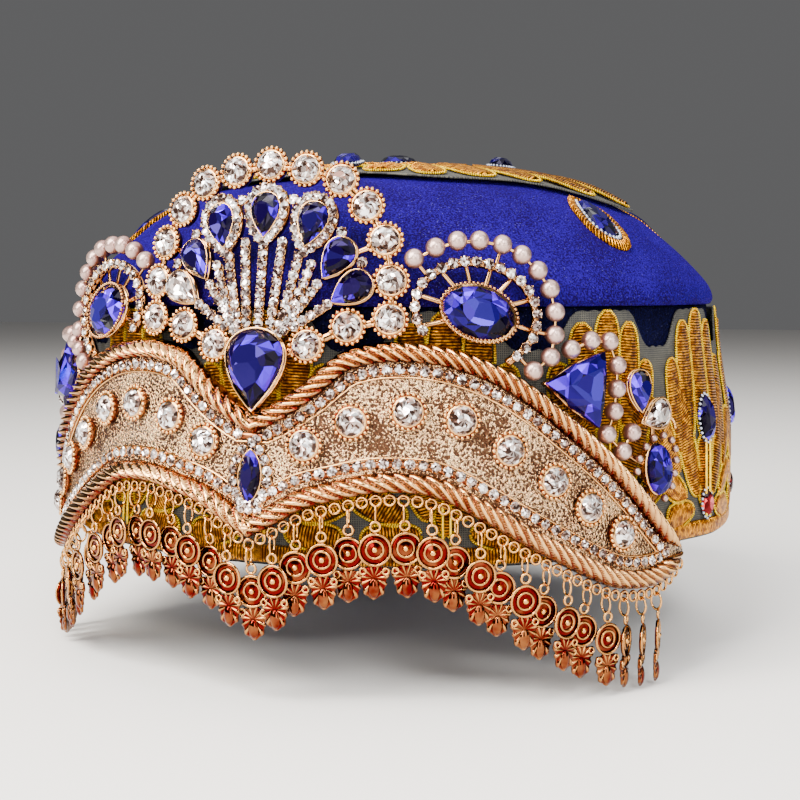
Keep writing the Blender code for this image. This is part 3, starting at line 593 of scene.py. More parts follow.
def velvet(name, deep, bright, lint):
    """Cut-pile velvet: fibre ends from deep to bright, by the pile plus the nap's slow drift.

    Lint shows near the middles of cells, as strongly as its share says.
    """
    made, tree, shader = finish(name, {
        "Roughness": 0.85, "Sheen Weight": 0.6, "Sheen Roughness": 0.35,
        "Sheen Tint": bright, "Specular IOR Level": 0.02})
    where = add(tree, "TexCoord", give="Object")
    pile = add(tree, "TexNoise", {"Vector": where, "Scale": PILE, "Detail": 3.0})
    nap = add(tree, "TexNoise", {"Vector": where, "Scale": NAP, "Detail": 2.0})
    nap = add(tree, "Math", {0: nap, 1: 0.3, 2: -0.15}, operation="MULTIPLY_ADD")
    level = add(tree, "Math", {0: pile, 1: nap}, operation="ADD")
    level = add(tree, "MapRange", {0: level, 1: 0.4, 2: 0.65}, **SOFT)
    ground = add(tree, "Mix", {0: level, 6: deep, 7: bright}, **BLEND)
    speck = add(tree, "TexVoronoi", {"Vector": where, "Scale": LINT})
    speck = add(tree, "MapRange", {0: speck, 1: 0.04, 2: 0.16, 3: lint, 4: 0.0}, **SOFT)
    colour = add(tree, "Mix", {0: speck, 6: ground, 7: LINT_COLOUR}, **BLEND)
    bump = add(tree, "Bump", {"Height": pile, "Distance": 0.0004, "Strength": 0.6})
    put(tree, shader, {"Base Color": colour, "Normal": bump})
    return made


def gilt_thread(name, painted_gap_shade, dark, light, pitch, wander, metal):
    """Wound gilt thread: the wraps are a sine of the distance along the work over their pitch.

    Noise makes the wraps wander, and tarnishes them from light to dark; the gaps between
    them are painted darker still, as shade.
    """
    made, tree, shader = finish(name, {
        "Metallic": metal, "Roughness": 0.36, "Specular IOR Level": 0.05})
    where = add(tree, "TexCoord", give="Object")
    lie = add(tree, "Attribute", give="Vector", attribute_name="lie")
    along = add(tree, "SeparateXYZ", {0: lie}, give=1)
    wobble = add(tree, "TexNoise", {"Vector": where, "Scale": WANDER, "Detail": 2.0})
    along = add(tree, "Math", {0: wobble, 1: wander, 2: along}, operation="MULTIPLY_ADD")
    waves = add(tree, "Math", {0: along, 1: 2 * math.pi / pitch}, operation="MULTIPLY")
    wraps = add(tree, "Math", {0: waves}, operation="SINE")
    share = add(tree, "MapRange", {0: wraps, 1: -0.9, 2: 0.2}, **SOFT)
    clean = add(tree, "TexNoise", {"Vector": where, "Scale": TARNISH, "Detail": 3.0})
    clean = add(tree, "MapRange", {0: clean, 1: 0.38, 2: 0.62}, **SOFT)
    ground = add(tree, "Mix", {0: clean, 6: dark, 7: light}, **BLEND)
    # Painted shade in the gaps between the wraps
    colour = add(tree, "Mix", {0: share, 6: painted_gap_shade, 7: ground}, **BLEND)
    bump = add(tree, "Bump", {"Height": wraps, "Distance": 0.00025, "Strength": 0.9})
    put(tree, shader, {"Base Color": colour, "Normal": bump})
    return made


def plated(name, light, painted_shade_and_reflection, roughness, pit_depth=0.0):
    """Rose-gold plate: light on its ridges, and painted dark red by the first mark and wear:
    the first mark paints shade in its cuts and the reflection of red surroundings.

    With a pit depth in metres it is hammered: where the pits' noise and its drift run low
    they are painted dark, as shade in the pits. Without one the cast is only faintly uneven.
    """
    made, tree, shader = finish(name, {"Metallic": 1.0, "Roughness": roughness})
    where = add(tree, "TexCoord", give="Object")
    lie = add(tree, "Attribute", give="Vector", attribute_name="lie")
    # First mark: the share of painted dark red, standing for shade and red reflection; random
    # wear is added to it below
    deep = add(tree, "SeparateXYZ", {0: lie})
    wear = add(tree, "TexNoise", {"Vector": where, "Scale": WEAR, "Detail": 3.0})
    wear = add(tree, "MapRange", {0: wear, 1: 0.3, 2: 0.7, 3: -0.12, 4: 0.12}, **SOFT)
    deep = add(tree, "Math", {0: deep, 1: wear}, operation="ADD", use_clamp=True)
    colour = add(tree, "Mix", {0: deep, 6: light, 7: painted_shade_and_reflection}, **BLEND)
    if pit_depth:
        pits = add(tree, "TexNoise", {"Vector": where, "Scale": PITS, "Detail": 2.0})
        drift = add(tree, "TexNoise", {"Vector": where, "Scale": PIT_DRIFT, "Detail": 2.0})
        drift = add(tree, "Math", {0: drift, 1: 0.5, 2: -0.25}, operation="MULTIPLY_ADD")
        level = add(tree, "Math", {0: pits, 1: drift}, operation="ADD")
        # The pits are painted dark as shade
        dark = add(tree, "MapRange", {0: level, 1: 0.46, 2: 0.56, 3: 0.95, 4: 0.0}, **SOFT)
        colour = add(tree, "Mix", {0: dark, 6: colour, 7: PIT_PAINTED_SHADE}, **BLEND)
        relief = {"Height": pits, "Distance": pit_depth, "Strength": 1.0}
    else:
        cast = add(tree, "TexNoise", {"Vector": where, "Scale": CAST, "Detail": 2.0})
        relief = {"Height": cast, "Distance": 0.00002, "Strength": 0.4}
    put(tree, shader, {"Base Color": colour, "Normal": add(tree, "Bump", relief)})
    return made


def foiled_glass(name, dark, middle, light, table, cells, gloss, cut):
    """Cut glass with a foil back: its inner facets, seen through, are painted on as
    straight-edged patches.

    A patch is a cell of random number and lean. Its number plus cut times the outer
    facet's own picks dark, middle or light: painted shade, a middle tone or a painted glint,
    for inner facets that throw the light back or stay dark, and its lean tips the shading.
    A facet numbered two is the table, with a painted reflection as its colour in part of
    the patches. Gloss is the share of light that the foil throws back.
    """
    made, tree, shader = finish(name, {
        "Roughness": 0.04, "Metallic": gloss, "IOR": 1.58, "Specular IOR Level": 0.08,
        "Coat Weight": 0.06, "Coat Roughness": 0.02})
    where = add(tree, "TexCoord", give="Object")
    inner = add(tree, "TexVoronoi", {"Vector": where, "Scale": cells}, give="Color")
    patch = add(tree, "SeparateXYZ", {0: inner})
    facet = add(tree, "Attribute", give="Fac", attribute_name="facet")
    level = add(tree, "Math", {0: facet, 1: cut, 2: -0.5 * cut}, operation="MULTIPLY_ADD")
    level = add(tree, "Math", {0: level, 1: patch}, operation="ADD")
    # Painted shade and painted glints of the inner facets, by patch and facet
    painted_lit_share = add(tree, "MapRange", {0: level, 1: 0.2, 2: 0.55}, **SOFT)
    colour = add(tree, "Mix", {0: painted_lit_share, 6: dark, 7: middle}, **BLEND)
    painted_glint = add(tree, "MapRange", {0: level, 1: 0.7, 2: 0.95}, **SOFT)
    colour = add(tree, "Mix", {0: painted_glint, 6: colour, 7: light}, **BLEND)
    # The table's painted reflection, in part of its patches
    painted_table_reflection = add(tree, "MapRange", {0: patch, 1: 0.42, 2: 0.46}, **SOFT)
    painted_table_reflection = add(tree, "Mix", {0: painted_table_reflection, 6: middle, 7: table}, **BLEND)
    flat_top = add(tree, "MapRange", {0: facet, 1: 1.4, 2: 1.6}, **SOFT)
    colour = add(tree, "Mix", {0: flat_top, 6: colour, 7: painted_table_reflection}, **BLEND)
    lean = add(tree, "VectorMath", {0: inner, 1: (0.7, 0.7, 0.7), 2: (-0.35, -0.35, -0.35)},
               operation="MULTIPLY_ADD")
    normal = add(tree, "NewGeometry", give="Normal")
    normal = add(tree, "VectorMath", {0: normal, 1: lean}, operation="ADD")
    normal = add(tree, "VectorMath", {0: normal}, operation="NORMALIZE")
    put(tree, shader, {"Base Color": colour, "Normal": normal})
    return made


def lacquered(name, body, painted_rim_shade):
    """Lacquered bead: painted shade by the first mark, round its sides and below, and faint
    clouds.
    """
    made, tree, shader = finish(name, {
        "Roughness": 0.32, "Metallic": 0.75, "Coat Weight": 0.5, "Coat Roughness": 0.16})
    where = add(tree, "TexCoord", give="Object")
    lie = add(tree, "Attribute", give="Vector", attribute_name="lie")
    # The first mark is painted shade round the bead's sides and below
    painted_rim_share = add(tree, "SeparateXYZ", {0: lie})
    cloud = add(tree, "TexNoise", {"Vector": where, "Scale": LACQUER, "Detail": 2.0})
    cloud = add(tree, "MapRange", {0: cloud, 1: 0.3, 2: 0.7, 3: 0.0, 4: 0.25}, **SOFT)
    share = add(tree, "Math", {0: painted_rim_share, 1: cloud}, operation="ADD", use_clamp=True)
    colour = add(tree, "Mix", {0: share, 6: body, 7: painted_rim_shade}, **BLEND)
    put(tree, shader, {"Base Color": colour})
    return made


def netting(name, thread, ground):
    """Woven net: a thread at the top of each sine along and up, over a ground painted dark as the
    shade seen through its gaps.
    """
    made, tree, shader = finish(name, {"Roughness": 0.8})
    where = add(tree, "TexCoord", give="Object")
    lie = add(tree, "Attribute", give="Vector", attribute_name="lie")
    threads = []
    for axis in (0, 1):
        wave = add(tree, "SeparateXYZ", {0: lie}, give=axis)
        wave = add(tree, "Math", {0: wave, 1: 2 * math.pi / NET_PITCH}, operation="MULTIPLY")
        wave = add(tree, "Math", {0: wave}, operation="SINE")
        threads.append(add(tree, "MapRange", {0: wave, 1: 0.1, 2: 0.8}, **SOFT))
    weave = add(tree, "Math", {0: threads[0], 1: threads[1]}, operation="MAXIMUM")
    soil = add(tree, "TexNoise", {"Vector": where, "Scale": SOIL, "Detail": 3.0})
    soil = add(tree, "MapRange", {0: soil, 1: 0.3, 2: 0.7, 3: 0.55, 4: 1.0}, **SOFT)
    share = add(tree, "Math", {0: weave, 1: soil}, operation="MULTIPLY")
    # The ground between the threads is painted dark, as shade seen through the gaps
    colour = add(tree, "Mix", {0: share, 6: ground, 7: thread}, **BLEND)
    bump = add(tree, "Bump", {"Height": weave, "Distance": 0.00012, "Strength": 0.8})
    put(tree, shader, {"Base Color": colour, "Normal": bump})
    return made


# Each finish: its maker and the maker's values
RECIPES = {
    # Rayon pile: a deep ultramarine that glows at its edges, with a little lint on it
    "cut_pile_velvet_blue": (velvet, "#0c002c", "#1c0066", 0.15),
    # The same pile in navy, painted near black as the shadow under the dome's overhang: the side
    # wall stays a dark band behind the embroidery
    "cut_pile_velvet_navy_painted_shadow": (velvet, "#02020c", "#080826", 0.1),
    # Gilt wire wound on padding: warm yellow ribs across each leaf, painted brown shade in
    # between
    "gilt_thread_wrapped": (gilt_thread, "#301400", "#844600", "#f0a000", THREAD_PITCH, 0.35,
                            0.97),
    # Twisted gilt cord: a brighter, more lemon line that outlines each leaf, with painted shade
    # between its turns
    "gilt_cord_twisted": (gilt_thread, "#906000", "#e8b000", "#ffe018", CORD_PITCH, 0.1,
                          0.6),
    # Stiff polyester net: grey threads, with gaps painted dark as the shaded wall behind
    "polyester_net_woven": (netting, "#48463c", "#0c0d12"),
    # Cast alloy, plated and polished: pink-gold lights, with painted red-brown shade and red
    # reflection in every cut
    "rose_gold_plate_polished": (plated, "#d6a468", "#520c06", 0.09),
    # The same plate hammered: pale gold grit that sparkles over pits painted dark as shade
    "rose_gold_plate_hammered": (plated, "#ccaa7e", "#a8431f", 0.1, 0.0008),
    # Stamped sheet, plated: thin gold rims round recesses painted copper red, a painted
    # reflection of red surroundings and shade
    "rose_gold_plate_stamped": (plated, "#cc9450", "#500606", 0.09),
    # Cut glass on foil, with painted shade, painted glints and a painted table reflection. The
    # small blue stones: near black, with painted violet-blue flashes
    "glass_cut_blue": (foiled_glass, "#040010", "#0c002e", "#4800e0", "#160a46", BLUE_PATCH,
                       0.5, 0.5),
    # The large side stones: the same blue, with lighter painted flashes and table reflection,
    # vivid all over
    "glass_cut_vivid_blue": (foiled_glass, "#030010", "#140054", "#5800ff", "#261c70", BLUE_PATCH,
                             0.5, 0.5),
    # The dome's stones: inky, with a dull navy painted table reflection
    "glass_cut_navy": (foiled_glass, "#020010", "#0a0038", "#200070", "#1c1450", BLUE_PATCH,
                       0.5, 0.5),
    # Rhinestones: painted white glints among grey and brown, a painted reflection of the metal
    # behind them
    "glass_cut_clear": (foiled_glass, "#38261f", "#a8968e", "#ffffff", "#e4dcd6", CLEAR_PATCH,
                        0.7, 1.0),
    # The strip's small red stones: ruby with a pink painted table reflection
    "glass_cut_red": (foiled_glass, "#200004", "#5c0408", "#a01018", "#d06068", RED_PATCH,
                      0.5, 0.5),
    # Glass beads in pearl lacquer: a soft pink-cream lustre with one wide light, and painted
    # brown-pink shade round their sides and below
    "glass_pearl_lacquered": (lacquered, "#c0a49a", "#7a4c42"),
    # Seed beads lined with silver: cold white dots round the embroidery's stones, with painted
    # blue-grey shade round their sides and below
    "glass_bead_silvered": (lacquered, "#c8ccd8", "#4d5366"),
}
FINISHES = {}


def make_finishes():
    """Every finish of the crown, under its name."""
    for name, (maker, *values) in RECIPES.items():
        FINISHES[name] = maker(name, *values)


def shown(name, data):
    """A new object in the scene."""
    made = bpy.data.objects.new(name, data)
    bpy.context.scene.collection.objects.link(made)
    return made


def piece(name, parts, finish_name, stands_for=(), cut=False):
    """One object from parts in millimetres, at the origin, riding on the crown.

    Cut stones get flat faces, and each facet its own number: two on a table, else random.
    """
    points, faces, marks = joined(parts)
    kept = faces >= 0
    mesh = bpy.data.meshes.new(name)
    mesh.vertices.add(len(points))
    mesh.vertices.foreach_set("co", (points * MM).ravel())
    mesh.loops.add(int(kept.sum()))
    mesh.loops.foreach_set("vertex_index", faces[kept].astype(np.int32))
    mesh.polygons.add(len(faces))
    starts = np.concatenate(([0], np.cumsum(kept.sum(1))[:-1]))
    mesh.polygons.foreach_set("loop_start", starts.astype(np.int32))
    mesh.update(calc_edges=True)
    lie = mesh.attributes.new("lie", "FLOAT_VECTOR", "POINT")
    lie.data.foreach_set("vector", marks.astype(np.float32).ravel())
    if cut:
        facet = mesh.attributes.new("facet", "FLOAT", "FACE")
        table = np.where(kept, marks[faces, 0], 0.0).max(1)
        facet.data.foreach_set("value", np.where(table > 0.5, 2.0, LUCK.random(len(faces))))
    work = bmesh.new()
    work.from_mesh(mesh)
    bmesh.ops.recalc_face_normals(work, faces=work.faces)
    work.to_mesh(mesh)
    work.free()
    mesh.polygons.foreach_set("use_smooth", np.full(len(faces), not cut))
    mesh.materials.append(FINISHES[finish_name])
    made = shown(name, mesh)
    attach(made, "root")
    if stands_for:
        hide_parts(*stands_for)
    return made


# Cap

def revolved(profile):
    """A cloth shell: an outline of radius and height swept round the head's axis."""
    turn = around(HEAD_SIDES)
    return np.stack((profile[:, :1] * np.sin(turn), -profile[:, :1] * np.cos(turn),
                     profile[:, 1:] + 0 * turn), -1)


def wall_radius(height):
    """Outer radius of the side wall, which narrows evenly upwards."""
    return RIM_RADIUS + (BAND_TOP_RADIUS - RIM_RADIUS) * height / BAND_TOP


def cap():
    """The side wall and the velvet dome, each a thin shell swept round the head.
    """
    heights = np.linspace(0.0, BAND_TOP, 9)
    radii = wall_radius(heights)
    outer = np.column_stack((radii, heights))
    inner = outer[::-1] - (WALL, 0.0)
    wall = skin(revolved(np.vstack((outer, inner))), over=True)
    # The wall's navy velvet is painted near black: the shadow under the dome's overhang
    band = piece("side_wall", [wall], "cut_pile_velvet_navy_painted_shadow", ["cap_band"])
    outer = catmull(DOME_PROFILE, 5)
    slopes = unit(np.gradient(outer, axis=0))
    inner = outer + WALL * np.column_stack((-slopes[:, 1], slopes[:, 0]))
    inner[:, 1] = np.maximum(inner[:, 1], DOME_PROFILE[0][1])
    shell = skin(revolved(np.vstack((inner[::-1], outer))))
    dome = piece("velvet_dome", [shell], "cut_pile_velvet_blue", ["cap_top"])


def dome_height(radius):
    """Height of the dome's outer face at a radius, read along its outline over the edge."""
    rows = catmull(DOME_PROFILE, 5)[5:][::-1]
    return np.interp(radius, rows[:, 0], rows[:, 1])


def strip_radius(angle, height):
    """Outer radius of the side strip: close under the metal, fuller at the sides and back.

    The sides lean in with an eased share of the height, and an eased share of the angle
    blends the front into them.
    """
    front = wall_radius(height) + STRIP_OFF_WALL
    side = STRIP_SIDE_RADIUS - STRIP_SIDE_LEAN * eased(between(height, STRIP_LEAN_HEIGHTS))
    return front + (side - front) * eased(between(np.degrees(np.abs(angle)), SWELL_ANGLES))


def on_strip(part):
    """A flat part (along, height, out) laid on the side strip's net.

    Its angle is along over the strip's flat radius, moved so that each motif comes to
    stand at its own turn.
    """
    along, height, out = part[0].T
    angle = along / STRIP_SPREAD
    place = np.arctan2(np.sin(angle), np.cos(angle)) * MOTIFS / (2 * math.pi)
    turns = np.interp(np.abs(place), np.arange(len(MOTIF_TURNS)), MOTIF_TURNS)
    angle = np.radians(turns) * np.sign(place)
    radius = strip_radius(angle, height) - STRIP_NET_DEPTH + out
    return (np.column_stack((radius * np.sin(angle), -radius * np.cos(angle), height)),
            part[1], part[2])


def on_dome(part, lift=SPRAY_LIFT):
    """A flat part laid over the dome: each point rises by the dome's height and a lift."""
    x, y, out = part[0].T
    return (np.column_stack((x, y, dome_height(np.hypot(x, y)) + lift + out)),
            part[1], part[2])


def leaf_width(share):
    """Half width of a leaf along its length, as a share of its widest.

    The ends are round by a fifth power, and the foot is narrower in a straight line.
    """
    ends = np.sqrt(np.clip(1.0 - np.abs(2 * share - 1) ** 5, 0.0, 1.0))
    return ends * (0.62 + 0.38 * np.clip(share * 2.0, 0.0, 1.0))


def leaf(length, half_width, height):
    """A padded satin leaf along +y: a half ellipse across at each step of its length."""
    share = 0.5 - 0.5 * np.cos(np.linspace(0.06, math.pi - 0.06, 18))[:, None]
    turn = np.linspace(0.0, math.pi, 7)
    half = half_width * leaf_width(share)
    rings = np.stack((half * np.cos(turn), length * share + 0 * turn,
                      height * np.sin(turn) ** 0.7 + 0 * share), -1)
    return skin(rings, rings)


def leaf_cord(length, half_width):
    """The cord couched round a leaf: a bar along its outline, marked by the distance along."""
    share = 0.5 - 0.5 * np.cos(np.linspace(0.02, math.pi, 24))
    half = half_width * leaf_width(share) + 0.3
    line = np.column_stack((half, length * share + 0.3 * (2 * share - 1)))
    line = evenly(np.vstack((line, line[::-1] * (-1.0, 1.0))), 34)
    part = tube(at_height(line, CORD_LIFT), CORD_RADIUS, 5)
    part[2][:, 1] = np.append(np.repeat(travelled(line), 5), (0.0, 0.0))
    return part


def laid(part, across, up, lean):
    """A part set down flat, its own up leaning clockwise from upright."""
    points = part[0].copy()
    points[:, :2] = points[:, :2] @ spin(-lean) + (across, up)
    return points, part[1], part[2]


def beaded_stone(half_width, half_height, depth, beads):
    """A cut oval and the seed beads sewn round it."""
    outline = oval(half_width, half_height)
    stone = cut_stone(outline, depth, 12, SEWN_CUT)
    return moved(stone, (0, 0, 0.4)), at_points(bead(0.5), edge_line(outline, beads, 0.55, 0.5))


def strip_cloth():
    """The strip's net: a thin sheet from its foot to a top edge that dips between motifs.

    The dip is an eased share of the way from a motif, and small scallops follow a sine.
    """
    columns = MOTIFS * MOTIF_STEPS
    turn = around(columns)
    phase = 2.0 * np.abs((np.arange(columns) / MOTIF_STEPS + 0.5) % 1.0 - 0.5)
    scallops = 0.5 * np.abs(np.sin(turn * 91))
    top = STRIP_TOP - STRIP_DIP * eased(between(phase, (0.4, 0.8))) - scallops
    shares = np.linspace(0.0, 1.0, 12)
    heights = STRIP_FOOT + (top - STRIP_FOOT)[:, None] * np.append(shares, shares[::-1])
    out = np.repeat((0.0, -NET_THICKNESS), 12)
    rings = np.stack((turn[:, None] * STRIP_SPREAD + 0 * heights, heights, out + 0 * heights), -1)
    return on_strip(skin(rings, rings, over=True))


def motif():
    """One motif, flat: leaves with their cords, two stems, and two stones in seed beads."""
    leaves, cords, beads = [], [], []
    for across, up, lean, length, half in MOTIF_LEAVES:
        for side in hands(across):
            place = (across * side, up, lean * side)
            leaves.append(laid(leaf(length, half, STRIP_PADDING), *place))
            cords.append(laid(leaf_cord(length, half), *place))
    stem = at_height(np.column_stack((np.zeros(20), np.linspace(*STEM_ENDS, 20))), STEM_LIFT)
    cords += [tube(stem + (shift, 0, 0), STEM_RADIUS, 5) for shift in (-STEM_APART, STEM_APART)]
    parts = {"leaf": joined(leaves), "cord": joined(cords)}
    for colour, (half_width, half_height, depth, count, up, lift) in MOTIF_STONES.items():
        stone, ring = beaded_stone(half_width, half_height, depth, count)
        parts[colour] = moved(stone, (0, up, lift))
        beads.append(moved(ring, (0, up, lift)))
    parts["bead"] = joined(beads)
    return parts


def side_strip():
    """The net strip and its fourteen embroidered motifs, with stones where they show."""
    net = piece("strip_net", [strip_cloth()], "polyester_net_woven",
                ["side_applique"])
    step = 2 * math.pi * STRIP_SPREAD / MOTIFS
    rounds = {key: [on_strip(moved(part, (step * i, 0, 0))) for i in range(MOTIFS)
                    if key in ("leaf", "cord") or i not in MOTIFS_BEHIND_METAL]
              for key, part in motif().items()}
    made = [piece("strip_leaves", rounds["leaf"] + [hem_ring()], "gilt_thread_wrapped"),
            piece("strip_cords", rounds["cord"], "gilt_cord_twisted"),
            piece("strip_beads", rounds["bead"], "glass_bead_silvered"),
            piece("strip_blue_stones", rounds["blue"], "glass_cut_blue", cut=True),
            piece("strip_red_stones", rounds["red"], "glass_cut_red", cut=True)]


def hem_ring():
    """The satin border at the hem: a flat half-round band of wraps round the strip."""
    turn = around(MOTIFS * MOTIF_STEPS)[:, None]
    across = np.linspace(0.0, math.pi, 7)
    rings = np.stack((turn * STRIP_SPREAD + 0 * across,
                      HEM_HEIGHT - HEM_HALF_WIDTH * np.cos(across) + 0 * turn,
                      HEM_PADDING * np.sin(across) ** 0.6 + 0 * turn), -1)
    return on_strip(skin(rings, rings[..., [1, 0, 2]], over=True))


def spray_reach(turn):
    """How far the spray's net reaches: an oval long to both sides, with six soft lobes."""
    return 50.0 + 18.0 * np.abs(np.cos(turn)) ** 3 + 2.5 * np.cos(6 * turn)


def corner_pear():
    """A pear stone with its seed beads and a border of wraps, tip inwards, flat."""
    outline, steps, sides = pear(3.9, 6.2, -90.0), 60, 7
    stone = moved(cut_stone(outline, 2.2, 12, SEWN_CUT), (0, 0, 0.5))
    beads = at_points(bead(0.55, 7), edge_line(outline, 30, 0.7, 0.6))
    border = wire_round(outline, steps, 0.3, 2.3, 1.15, sides)
    border[2][:, 1] = np.repeat(np.arange(steps) * 0.7125, sides)
    return stone, beads, border


def spray_rows():
    """Leaves of the spray: an inner ring, an outer ring to the edge and one between."""
    inner = [(9.0, angle, 21.0, 4.8) for angle in range(0, 360, 30)]
    outer = [(27.0, angle, spray_reach(math.radians(angle)) - 28.0, 5.2)
             for angle in range(15, 360, 30)]
    between_them = [(33.0, angle, spray_reach(math.radians(angle)) - 34.0, 4.2)
                    for angle in range(0, 360, 30) if angle not in (90, 270)]
    return inner + outer + between_them


def spray_cloth():
    """The spray's net: a thin sheet of rings at shares of its reach, over and back under."""
    turn = around(96)
    shares = np.array((0.02, 0.25, 0.5, 0.75, 1.0))
    reach = spray_reach(turn) * np.append(shares, shares[::-1])[:, None]
    lift = np.repeat((0.1, 0.1 - NET_THICKNESS), 5)[:, None]
    rings = np.stack((reach * np.cos(turn), reach * np.sin(turn), lift + 0 * turn), -1)
    return on_dome(skin(rings, rings))


def top_spray():
    """The spray on the dome: two rings of leaves about a stone, with pears at its corners."""
    leaves, cords, beads, stones = [], [], [], []
    for foot, angle, length, half in spray_rows():
        turn = math.radians(angle)
        place = (foot * math.cos(turn), foot * math.sin(turn), 90.0 - angle)
        leaves.append(on_dome(laid(leaf(length, half, SPRAY_PADDING), *place)))
        cords.append(on_dome(laid(leaf_cord(length, half), *place)))
    for x, y, half_width, half_height in SPRAY_OVALS:
        for part, kept in zip(beaded_stone(half_width, half_height, 2.8, 30), (stones, beads)):
            kept.append(on_dome(moved(part, (x, y, 1.2))))
    corner = corner_pear()
    for x, y in SPRAY_PEARS:
        lean = -math.degrees(math.atan2(y, x))
        for part, kept in zip(corner, (stones, beads, leaves)):
            kept.append(on_dome(laid(part, x, y, lean), CORNER_LIFT))
    net = piece("spray_net", [spray_cloth()], "polyester_net_woven",
                ["top_applique"])
    made = [piece("spray_leaves", leaves, "gilt_thread_wrapped"),
            piece("spray_cords", cords, "gilt_cord_twisted"),
            piece("spray_stones", stones, "glass_cut_navy", cut=True),
            piece("spray_beads", beads, "glass_bead_silvered")]


# Metal front

def small_seat():
    """A rhinestone's cup: a turned wall and four prong beads."""
    cup = lathed(((1.0, -0.9), (1.42, 0.0), (1.3, 0.4)), 8)
    prongs = at_height(circle(1.3, 4, 0.5), 0.55)
    # The cup is marked 0.35: partly painted dark red shade and reflection
    return joined([marked(cup, 0.35), at_points(ball(0.26, 4, 2), prongs)])


def small_stone(reach=1.3):
    """A rhinestone: a round stone of eight facets round its table."""
    return cut_stone(oval(reach, reach), 0.8, 8, ((1.0, 0.45), (0.55, 1.0)), star=True)


def large_seat():
    """A round stone's setting: a turned wall, painted dark red outside its collar as shade and
    reflection, a ring of metal beads and a bright collar.
    """
    wall = lathed(SEAT_WALL, 30)
    radius = np.hypot(wall[0][:, 0], wall[0][:, 1])
    # Painted dark red shade and reflection on the wall outside the collar, little on the collar
    # and beads
    wall[2][:, 0] = np.where(radius > SEAT_COLLAR, 0.9, 0.1)
    ring = at_height(circle(SEAT_BEADS, 20), SEAT_BEAD_HEIGHT)
    return joined([wall, at_points(marked(ball(0.6, 6, 4), 0.1), ring)])


def large_stone():
    """A brilliant-cut round stone: two rows of facets round a table."""
    return moved(cut_stone(oval(3.35, 3.35), 1.6, 16, ((1.0, 0.1), (0.78, 0.6), (0.45, 1.0)),
                           star=True), (0, 0, 1.9))


def rope(line, width, turned_in):
    """A cast rope: a half-round bar whose surface rises in slanting strands.

    Height follows a half circle across, cut by valleys where the distance along plus the
    slant times the distance across is a whole number of strands. Valleys and the lower
    side are marked for the plate's painted dark red: shade in the valleys, and shade and
    the reflection of red surroundings on the lower side.
    """
    along = travelled(line)[:, None]
    share = np.linspace(0.0, 1.0, ROPE_ACROSS)
    bow = np.sqrt(np.clip(1 - (2 * share - 1) ** 2, 0.0, 1.0))
    across = width[:, None] * share * turned_in
    strand = np.abs(np.sin(math.pi * (along + STRAND_SLANT * across) / STRAND)) ** 0.8
    scale = (width / ROPE_WIDTH)[:, None]
    rise = 0.9 + scale * bow * (1.6 + 2.1 * strand)
    places = np.stack([beside(line, turned_in * width * one) for one in share], 1)
    points = np.concatenate((places, rise[..., None]), -1)
    back = points[:, [-1, 0]] * (1, 1, 0) + (0, 0, 0.3)
    rings = np.concatenate((points, back), 1)
    downward = share if turned_in < 0 else 1.0 - share
    # Painted shade in the valleys, and painted shade and red reflection on the lower side
    deep = np.clip(1.5 - strand * 1.9, 0.0, 1.0) + np.clip(2.4 * downward - 1.4, 0.0, 1.0)
    marks = np.zeros_like(rings)
    marks[:, :ROPE_ACROSS, 0] = np.clip(deep, 0.0, 1.0)
    return roll_up(skin(rings, marks))


def plate_lines(count):
    """The plate's two outer edges from end to end, and the ropes' width along them.

    A rope is narrower where the edges come close, at 0.42 of their distance.
    """
    lower = evenly(catmull(flat(LOWER_EDGE)), count)
    upper = evenly(catmull(flat(UPPER_EDGE)), count)
    width = np.minimum(ROPE_WIDTH, 0.42 * np.linalg.norm(upper - lower, axis=1))
    return both_sides(lower), both_sides(upper), np.append(width[:0:-1], width)


def spread_along(line, first, pitch):
    """Places along a line at a pitch, from a first distance."""
    along = travelled(line)
    wanted = np.arange(first, along[-1], pitch)
    return np.stack([np.interp(wanted, along, column) for column in line.T], -1)


def plate_field():
    """The hammered field: lines at shares of the way from edge to edge, with a flat back."""
    lower, upper, _ = plate_lines(60)
    shares = np.linspace(0.02, 0.98, 22)[:, None]
    field = lower[:, None] + (upper - lower)[:, None] * shares
    rise = np.full(field.shape[:2] + (1,), FIELD_RISE)
    front = np.concatenate((field, rise), -1)
    back = np.concatenate((field[:, ::-1], 0 * rise), -1)
    return roll_up(skin(np.concatenate((front, back), 1)))


